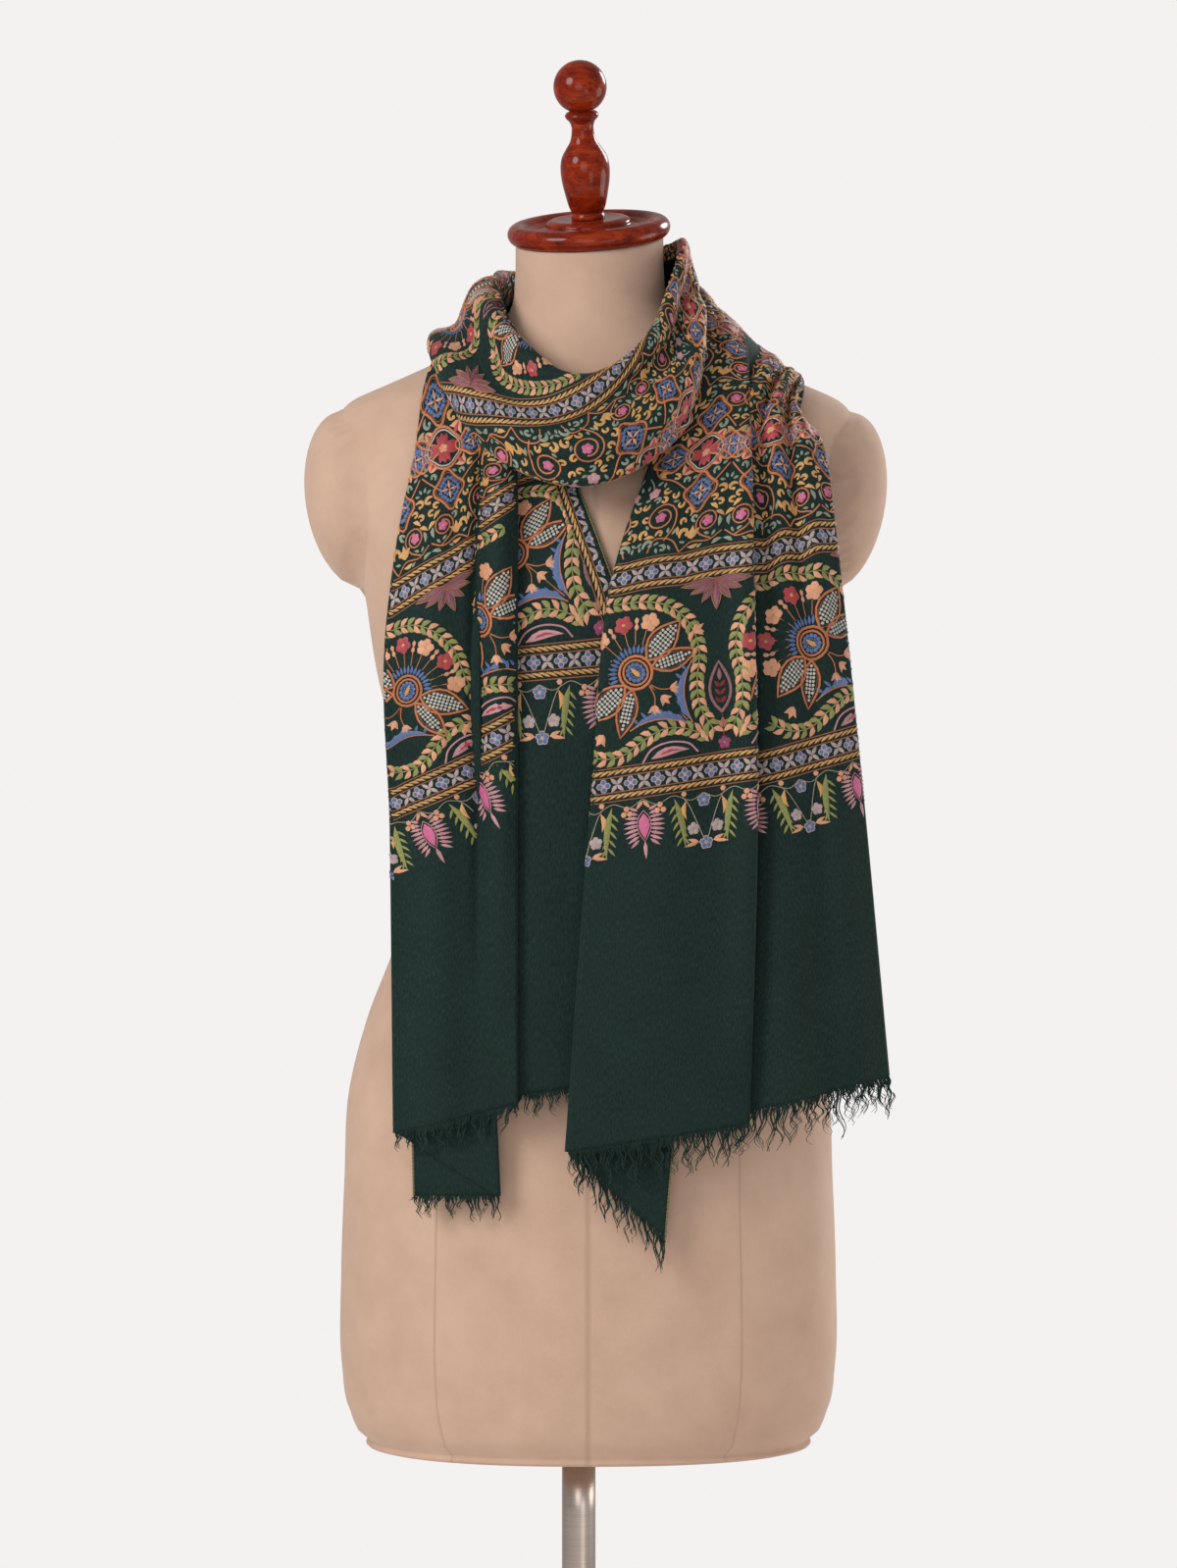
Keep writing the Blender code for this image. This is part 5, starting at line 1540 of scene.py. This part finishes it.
def field_unit():
    """Half a repeat of the field, between two mirror lines FIELD_HALF apart, FIELD_REPEAT high."""
    swirl, small, blue = scroll(10.5), scroll(8.0), medallion()
    gold, sage, bud = hook(), hook(12.0, SAGE), tulip(OCHRE, OCHRE)
    parts = [
        placed(swirl, 15, 27, mirror=True),
        placed(small, 48, 18, 20),
        placed(gold, 30, 8, 10),
        placed(gold, 34, 24, -35, 0.9, mirror=True),
        placed(sage, 5, 4),
        placed(bud, 38, 8),
        couched(curve((30, 0), (24, 9), (12, 11), (8, 2)), 1.0, RUST),
        couched(curve((30, 0), (38, 6), (50, 4), (59, 9)), 1.0, RUST),
        placed(rosette(), 40, 72),
        placed(blue, 17, 72, 90, 0.92),
        placed(blue, 63, 72, 90, 0.92),
        placed(blue, 40, 42, 0, 0.96),
        placed(blue, 40, 102, 0, 0.96),
        couched(curve((4, 72), (9, 84), (20, 91), (31, 100)), 1.1, RUST),
        couched(curve((4, 72), (9, 60), (20, 53), (31, 44)), 1.1, RUST),
        couched(curve((48, 44), (55, 52), (59, 57)), 1.1, RUST),
        couched(curve((48, 100), (55, 92), (59, 87)), 1.1, RUST),
        placed(tulip(), 25, 57, -40, 0.95),
        placed(tulip(), 25, 87, -140, 0.95),
        placed(tulip(), 52, 58, 35, 0.8),
        placed(tulip(), 52, 86, 145, 0.8),
        placed(swirl, 16, 114, 180, 0.95),
        placed(gold, 30, 119, 170, 0.9),
        placed(small, 53, 113, 160),
    ]
    for y, bend in ((48, 1), (96, -1)):
        parts.append(placed(blossom(5, 4.2, MAUVE, CREAM), 7.0, y))
        parts.append(couched(curve((2, y + 14 * bend), (5, y + 8 * bend), (6, y + 4 * bend)), 1.0, SAGE))
        parts.append(placed(bud, 8, y + 14 * bend, -90, 0.8))
    sprays = [vine(26.0, 1), vine(26.0, -1), vine(20.0, 1), vine(20.0, -1), vine(15.0, 1), vine(15.0, -1)]
    curls = [hook(size, colour) for size in (11.0, 8.5) for colour in (OCHRE, SAGE, OCHRE)]
    crumbs = [leaf((0, 0), (0.6, 8), 3.0, colour, bend=0.9) for colour in (OCHRE, SAGE, OCHRE)]
    crumbs.append(join([leaf((0, 0), (0, 7), 2.6, OCHRE), leaf((0, 1), (4, 6), 2.2, SAGE)]))
    crumbs.append(leaf((0, 0), (0, 4.5), 2.2, SAGE))
    full = join(parts)
    for sizes, tries, seed in (
        (sprays[:2], 2500, 4),
        (sprays[2:4], 3000, 5),
        (sprays[4:], 3000, 6),
        (curls, 2500, 8),
        (crumbs, 6000, 7),
    ):
        full = sown(full, FIELD_HALF, FIELD_REPEAT, sizes, tries, seed)
    return full


FIELD_UNIT = field_unit()


def field(columns, rows, first=0):
    """The all-over pattern: half repeats, each the mirror of the next, in rows; x = 0 is a mirror line."""
    parts = []
    for column in range(first, first + columns):
        mirror = bool(column % 2)
        x = (column + 1 if mirror else column) * FIELD_HALF
        parts += [placed(FIELD_UNIT, x, row * FIELD_REPEAT, mirror=mirror) for row in range(rows)]
    return join(parts)


def fabric_map(points, rows, anchor, side, pitch=0.0015):
    """The cloth's face as a regular map: places and normals every pitch of real distance across each row.

    anchor is the share of each row's width that distances are counted from, and side is +1 where the face
    that is embroidered looks along the cross product of the two grid directions. Places past a row's ends are
    nan.
    """
    normal = np.cross(np.gradient(points, axis=1), np.gradient(points, axis=0)) * side
    normal /= np.maximum(np.linalg.norm(normal, axis=2), 1e-9)[:, :, None]
    steps = np.linalg.norm(np.diff(points, axis=1), axis=2)
    reach = np.concatenate([np.zeros((len(points), 1)), np.cumsum(steps, axis=1)], axis=1)
    reach -= anchor * reach[:, -1:]
    across = np.arange(math.ceil(reach.min() / pitch), math.floor(reach.max() / pitch) + 1) * pitch
    place = np.full((len(points), len(across), 6), np.nan)
    both = np.concatenate([points, normal], axis=2)
    for row in range(len(points)):
        on = (across >= reach[row, 0]) & (across <= reach[row, -1])
        for axis in range(6):
            place[row, on, axis] = np.interp(across[on], reach[row], both[row, :, axis])
    return {"place": place, "across": across[0], "pitch": pitch, "rows": rows, "side": side}


def lay(fabric, x, y, height):
    """Points x across and y along a fabric map, raised by height: its bilinear place plus its normal."""
    place, rows = fabric["place"], fabric["rows"]
    u = (x - fabric["across"]) / fabric["pitch"]
    v = (y - rows[0]) / (rows[1] - rows[0])
    inside = (u >= 0) & (u <= place.shape[1] - 1.001) & (v >= 0) & (v <= place.shape[0] - 1.001)
    u, v = np.where(inside, u, 0), np.where(inside, v, 0)
    i, j = u.astype(int), v.astype(int)
    fu, fv = (u - i)[:, None], (v - j)[:, None]
    low = place[j, i] * (1 - fu) + place[j, i + 1] * fu
    high = place[j + 1, i] * (1 - fu) + place[j + 1, i + 1] * fu
    both = low * (1 - fv) + high * fv
    both[~inside] = np.nan
    normal = both[:, 3:] / np.maximum(np.linalg.norm(both[:, 3:], axis=1), 1e-9)[:, None]
    return both[:, :3] + normal * height[:, None]


def dyed(item, colours):
    """Gives the points of a mesh one thread colour, or one each."""
    rgba = np.ones((len(item.data.vertices), 4), np.float32)
    rgba[:, :3] = colours
    layer = item.data.color_attributes.new("thread", "FLOAT_COLOR", "POINT")
    layer.data.foreach_set("color", rgba.ravel())


def embroider(name, batches, material, seed):
    """One mesh of all that lies on its fabric of some stitched patterns.

    Each batch is (bundle, fabric map, across, along, turn, slope, test): where the bundle's zero lies on the
    map in mm, how far the pattern is turned from the level and how far the map's rows are, and a test of
    across and along in mm for where it may lie, or None. Sheared rows are undone, so that the pattern keeps
    its right angles.
    """
    chance = np.random.default_rng(seed)
    points, faces, colours, threads, count = [], [], [], [], 0
    for part, fabric, across, along, turn, slope, test in batches:
        turn, slope = math.radians(turn), math.radians(slope)
        flat = part["points"]
        reach = (flat[:, 0] * math.cos(turn) - flat[:, 1] * math.sin(turn)) / math.cos(slope)
        rise = flat[:, 0] * math.sin(turn) + flat[:, 1] * math.cos(turn) - reach * math.sin(slope)
        x, y = across + reach, along + rise
        height = CLOTH_WALL / 2 + STITCH_BASE + flat[:, 2] / 1000
        place = lay(fabric, x / 1000, y / 1000, height)
        good = ~np.isnan(place[:, 0])
        if test is not None:
            good &= test(x, y)
        face = part["faces"][good[part["faces"]].all(axis=1)]
        kept = np.zeros(len(place), bool)
        kept[face.ravel()] = True
        face = (np.cumsum(kept) - 1)[face] + count
        tint = part["dyes"] * chance.uniform(0.84, 1.12, (len(part["dyes"]), 1))
        points.append(place[kept])
        faces.append(face if fabric["side"] > 0 else face[:, ::-1])
        colours.append(tint[part["element"]][kept])
        threads.append(part["thread"][kept] / 1000)
        count += int(kept.sum())
    points, faces = np.concatenate(points), np.concatenate(faces)
    item = mesh_piece(name, points, faces, material, np.concatenate(threads))
    dyed(item, np.clip(np.concatenate(colours), 0, 1))
    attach(item, "root")


silk, tree, shader, _ = new_material("embroidery_thread")
thread_colour = tree.nodes.new("ShaderNodeAttribute")
thread_colour.attribute_type, thread_colour.attribute_name = "GEOMETRY", "thread"
stranded = {"Low": 0.32, "High": 0.60, "Dark": (0.55, 0.53, 0.51), "Amount": 0.8}
stranded["Colour"] = thread_colour.outputs["Color"]
tone, strands = uneven(tree, flat_places(tree), (2600.0, 500.0, 1.0), 2.0, 0.6, **stranded)
feed(shader, {
    "Base Color": tone,
    "Normal": bump(tree, strands, 0.0002, 0.6),
    "Roughness": 0.55,
    "Sheen Weight": 0.22,
    "Sheen Roughness": 0.4,
})


def end_pattern(first, cells, lean, sprigs, field_x, core):
    """The hem's borders, sprigs and field as one bundle, its zero at the heart of one cell's palmette.

    It takes in so many cells from the first, their palmettes turned by lean degrees; sprigs and field_x shift
    those two along the hem in mm, and core is the cell whose palmette lies at zero.
    """
    length = cells * CELL + 60
    heart = core * CELL + (CELL - CORE_PLACE if core % 2 else CORE_PLACE)
    parts = [
        placed(narrow_border(length), first * CELL - 30, NARROW_LOW),
        placed(narrow_border(length), first * CELL - 27, NARROW_HIGH),
        placed(broad_border(cells, lean, first), 0, BROAD_LOW),
        placed(sprig_row(cells * 2 + 2, first * 2 - 2), sprigs, NARROW_LOW),
        placed(field(8, 3, -3), field_x, FIELD_LOW),
    ]
    return placed(join(parts), -heart, -BROAD_LOW - CORE_HEIGHT)


def panel_map(points, columns, rows, span, anchor, side):
    """A fabric map of the columns of an end between the two flat places of a span."""
    on = (columns >= span[0]) & (columns <= span[1])
    return fabric_map(points[:, on], rows, anchor, side)


right_front_map = panel_map(right_points, right_columns, right_rows, RIGHT_FRONT_SPAN, 0.0, 1)
right_outer_map = panel_map(right_points, right_columns, right_rows, RIGHT_OUTER_SPAN, 0.0, 1)
embroider(
    "embroidery_right_end",
    [
        # pattern, map, across, along, turn, slope, test
        (end_pattern(-1, 3, 42, 55, 57, 0), right_front_map, 31, 326, 8.5, 4, None),
        (end_pattern(-1, 3, 42, 66, 35, 0), right_outer_map, 62, 330, 15, 7, None),
    ],
    silk,
    31,
)

# ---------------- the left end's embroidery
# The same threads and borders on the other end of the cloth. Near the selvedge its narrow border turns the
# corner and runs up the cloth's long edge.

LEFT_OUTER_SPAN, LEFT_STRIP_SPAN, LEFT_INNER_SPAN = (0.1285, 0.2005), (0.1015, 0.1315), (0.0010, 0.0845)
LONG_BORDER, LONG_LENGTH = 13.0, 360  # how much of the border up the long edge shows, and how long it is
LONG_START = BROAD_LOW + 12  # where it starts, in mm from the hem

left_outer_map = panel_map(left_points, left_columns, left_rows, LEFT_OUTER_SPAN, 1.0, -1)
left_strip_map = panel_map(left_points, left_columns, left_rows, LEFT_STRIP_SPAN, 1.0, -1)
left_inner_map = panel_map(left_points, left_columns, left_rows, LEFT_INNER_SPAN, 1.0, -1)
left_edge_map = panel_map(left_points, left_columns, left_rows, LEFT_INNER_SPAN, 0.0, -1)
inner_panel = left_points[:, left_columns <= LEFT_INNER_SPAN[1]]
inner_width = np.linalg.norm(np.diff(inner_panel, axis=1), axis=2).sum(axis=1) * 1000


def inside_long_border(x, y):
    """Past the narrow border that runs up the cloth's long edge; x is counted back from the hidden fold."""
    return (x + np.interp(y / 1000, left_rows, inner_width) > LONG_BORDER) | (y < LONG_START)


embroider(
    "embroidery_left_end",
    [
        # pattern, map, across, along, turn, slope, test
        (end_pattern(0, 3, 50, 36, 59, 1), left_outer_map, -26, 335, -24, -37, None),
        (end_pattern(-1, 3, -22, 30, 40, 0), left_strip_map, -4, 338, -30, -37, None),
        (end_pattern(0, 3, -46, 32, 50, 1), left_inner_map, -8, 341, -4, -3, inside_long_border),
        (narrow_border(LONG_LENGTH), left_edge_map, LONG_BORDER, LONG_START, 90, 0, None),
    ],
    silk,
    32,
)

# ---------------- the loop's embroidery
# The hem's borders run slantwise over the roll here: the upper narrow border crosses it, with the broad
# border above on the left and the field below on the right.

LOOP_TURN = -61.0  # degrees that the pattern is turned on the roll
LOOP_PLACE = (-5.0, 0.42)  # the border's middle: mm off the roll's middle line, share of the loop's length
LOOP_BORDER = 420  # how long the narrow border is
LOOP_CELLS, LOOP_FIELD = -38.0, 10.0  # how far the palmettes and the field are shifted along it


def band_map(points):
    """A fabric map of a band, in even rows along its middle line."""
    middle = points[:, points.shape[1] // 2]
    length = lengths_along(middle)
    even = np.linspace(0, length[-1], len(points))
    return fabric_map(smooth(even, length, points), even, 0.5, 1)


loop_map = band_map(loop_points)
anchor = (LOOP_PLACE[0], LOOP_PLACE[1] * loop_map["rows"][-1] * 1000)
loop_pattern = join(
    [
        placed(narrow_border(LOOP_BORDER), -LOOP_BORDER / 2, -NARROW / 2),
        placed(broad_border(4, 42), -2 * CELL + LOOP_CELLS, -NARROW / 2 - BROAD),
        placed(field(8, 2), -4 * FIELD_HALF + LOOP_FIELD, NARROW / 2 + 1),
    ]
)
embroider("embroidery_neck_loop", [(loop_pattern, loop_map, *anchor, LOOP_TURN, 0, None)], silk, 33)

# ---------------- the wraps' embroidery
# The field's scrolls, medallions and rosettes, in the same threads, cover both passes behind the neck and run
# on round the gathers.

back_field = (field(8, 3), band_map(back_points), 1.5 * FIELD_REPEAT, 0, 90, 0, None)
embroider("embroidery_back_wrap", [back_field], silk, 34)
inner_field = (field(8, 2, -4), band_map(inner_points), FIELD_REPEAT, 0, 90, 0, None)
embroider("embroidery_inner_wrap", [inner_field], silk, 35)

# ---------------- the edging
# Both long selvedges are whipped over with dull ochre silk: a close row of slanting stitches round the
# cloth's edge.

EDGE_RADIUS, EDGE_PITCH, EDGE_SIDES, EDGE_SWELL = 0.00085, 0.0026, 6, 0.22
EDGING = dye(98, 92, 50)


def whipped_edge(line):
    """A twisted cord along a line: a ring of points at each step, whose radius swells round a helix."""
    reach = lengths_along(line)
    at = np.arange(0, reach[-1], EDGE_PITCH / 4)
    centre = points_along(at, reach, line)
    ahead = np.gradient(centre, axis=0)
    ahead /= np.linalg.norm(ahead, axis=1)[:, None]
    side = np.cross(ahead, [0.0, 1.0, 0.0])
    side /= np.linalg.norm(side, axis=1)[:, None]
    up = np.cross(side, ahead)
    turn = full_turn(EDGE_SIDES)
    swell = EDGE_RADIUS * (1 + EDGE_SWELL * np.cos(turn[None, :] - 2 * math.pi * at[:, None] / EDGE_PITCH))
    ring = np.cos(turn)[None, :, None] * side[:, None] + np.sin(turn)[None, :, None] * up[:, None]
    return centre[:, None] + ring * swell[..., None], at, turn


edge_silk = silk.copy()
for name, points, column in (
    ("edging_right_rear", right_points, 0),
    ("edging_left_inner", left_points, 0),
    ("edging_left_rear", left_points, -1),
):
    rings, at, turn = whipped_edge(points[:, column])
    along, round_it = np.meshgrid(at, turn, indexing="ij")
    places = np.stack([round_it.ravel() * EDGE_RADIUS, along.ravel()], axis=1)
    faces = grid_faces(*rings.shape[:2], closed=True)
    edging = mesh_piece(name, rings.reshape(-1, 3), faces, edge_silk, places)
    dyed(edging, EDGING)
    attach(edging, "root")

# ---------------- the fringe
# The warp ends left loose where the weft was drawn out at the two short ends: short fuzz close to the hem,
# and longer ends that have worked together into curly locks.

FRINGE_PANELS = (
    # end, fold line that the panel starts at, length, spread, wave
    ("right", "inner_fold", 0.030, -0.002, 0.0034),
    ("right", "hidden_fold", 0.031, 0.007, 0.0036),
    ("right", "rear_selvedge", 0.026, 0.000, 0.0026),
    ("right", "outer_fold", 0.027, 0.004, 0.0030),
    ("left", "strip_fold", 0.017, -0.003, 0.0016),
    ("left", "inner_selvedge", 0.016, 0.001, 0.0016),
    ("left", "rear_fold", 0.018, 0.001, 0.0016),
)
FRINGE_SEEDS = {"right": 41, "left": 42}
HEM_OVERLAP = 0.002  # how far past its panel a stretch of fringe starts
LOCK_WIDTH = 0.0052
END_RADIUS, END_PITCH, END_STEPS, END_GATHER = 0.00062, 0.0013, 12, 0.75
FUZZ_RADIUS, FUZZ_PITCH, FUZZ_STEPS, FUZZ_GATHER = END_RADIUS * 0.7, 0.0007, 4, 0.2
FUZZ_LENGTH, FUZZ_WAVE = 0.0065, 0.0012
LOCK_STRAY, TIP_FORWARD, ROOT_ABOVE = 0.008, 0.0015, 0.0006


def loose_ends(hem, length, spread, wave, pitch, steps, radius, gather, chance):
    """Threads that hang from places along a hem.

    Each runs down by its own length, drifts by the spread, swings in a growing sine across and forward, and
    leans to the middle of its lock by gather; a square ring of points, tapering to the tip, stands at each
    step.
    """
    reach = lengths_along(hem)
    at = np.arange(pitch / 2, reach[-1], pitch)
    at = np.clip(at + chance.normal(0, pitch * 0.35, len(at)), 0, reach[-1])
    root = points_along(at, reach, hem)
    lock = (np.floor(at / LOCK_WIDTH) + 0.5) * LOCK_WIDTH
    of_lock = np.floor(at / LOCK_WIDTH).astype(int)
    shared = chance.uniform(0, 1, (of_lock.max() + 1, 5))[of_lock]
    drop = length * (0.55 + 0.60 * shared[:, 0]) * chance.uniform(0.72, 1.05, len(at))
    t = np.linspace(0, 1, steps + 1)[None, :]
    across = np.interp(at, [0, reach[-1]], [-1, 1])[:, None]
    phase = 2 * math.pi * shared[:, 1:2] + chance.normal(0, 0.5, (len(at), 1))
    turns = 1.0 + 1.1 * shared[:, 2:3]
    swing = wave * t**0.9 * np.sin(phase + 2 * math.pi * turns * t)
    front = wave * 0.8 * t**0.9 * np.sin(phase * 1.7 + 2 * math.pi * (turns + 0.4) * t)
    heading = np.gradient(hem, axis=0).mean(axis=0)
    heading = heading / np.linalg.norm(heading)
    sideways = (lock - at)[:, None] * gather * t + spread * across * t
    sideways += (shared[:, 3:4] - 0.5) * LOCK_STRAY * t**1.5 + swing
    centre = root[:, None] + sideways[..., None] * heading
    centre[..., 1] += front - TIP_FORWARD * t
    centre[..., 2] -= drop[:, None] * t - ROOT_ABOVE
    size = radius * (1.05 - 0.75 * t) * chance.uniform(0.8, 1.2, (len(at), 1))
    corner = np.radians([45, 135, 225, 315]) + 4.0 * t[..., None]
    ring = np.stack([np.cos(corner), np.sin(corner), np.zeros_like(corner)], axis=-1)
    points = centre[:, :, None] + ring * size[..., None, None]
    body = grid_faces(steps + 1, 4, closed=True)[:, ::-1]
    ends = np.array([[3, 2, 1, 0], [4 * steps, 4 * steps + 1, 4 * steps + 2, 4 * steps + 3]])[:, ::-1]
    one = np.vstack([body, ends])
    faces = (np.arange(len(at))[:, None, None] * 4 * (steps + 1) + one[None]).reshape(-1, 4)
    places = np.stack(np.broadcast_arrays(at[:, None, None], t[..., None], np.zeros(4))[:2], axis=-1)
    return points.reshape(-1, 3), faces, places.reshape(-1, 2)


yarn, tree, shader, _ = new_material("fringe_yarn")
yarn_places = flat_places(tree)
split = tree.nodes.new("ShaderNodeSeparateXYZ")
tree.links.new(yarn_places, split.inputs["Vector"])
# The yarn is darker at its roots by the hem and lighter towards its tips.
root_to_tip_tone = ramp(tree, split.outputs["Y"], [(0.0, (0.010, 0.026, 0.022)), (1.0, (0.026, 0.056, 0.049))])
twisted = {"Low": 0.32, "High": 0.66, "Dark": (0.45, 0.48, 0.48)}
tone, twist = uneven(tree, yarn_places, (1400.0, 9.0, 1.0), 3.0, 0.6, Colour=root_to_tip_tone, **twisted)
feed(shader, {
    "Base Color": tone,
    "Normal": bump(tree, twist, 0.0002, 0.6),
    "Roughness": 0.8,
    "Specular IOR Level": 0.15,
})

ends = {"right": (right_points, right_columns, RIGHT_FOLDS), "left": (left_points, left_columns, LEFT_FOLDS)}
for side, (points, columns, folds) in ends.items():
    chance = np.random.default_rng(FRINGE_SEEDS[side])
    all_points, all_faces, all_places, count = [], [], [], 0
    for _, fold, length, spread, wave in (panel for panel in FRINGE_PANELS if panel[0] == side):
        low, high = panel_span(folds, fold)
        hem = points[0][(columns >= low - HEM_OVERLAP) & (columns <= high + HEM_OVERLAP)]
        if hem[0, 0] > hem[-1, 0]:
            hem = hem[::-1]
        for kind in (
            (length, spread, wave, END_PITCH, END_STEPS, END_RADIUS, END_GATHER),
            (FUZZ_LENGTH, 0.0, FUZZ_WAVE, FUZZ_PITCH, FUZZ_STEPS, FUZZ_RADIUS, FUZZ_GATHER),
        ):
            made = loose_ends(hem, *kind, chance)
            all_points.append(made[0])
            all_faces.append(made[1] + count)
            all_places.append(made[2])
            count += len(made[0])
    threads, faces, places = (np.concatenate(each) for each in (all_points, all_faces, all_places))
    fringe = mesh_piece(f"fringe_{side}_end", threads, faces, yarn, places)
    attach(fringe, "root")
    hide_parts(*[f"fringe_{panel[0]}_{panel[1]}" for panel in FRINGE_PANELS if panel[0] == side])
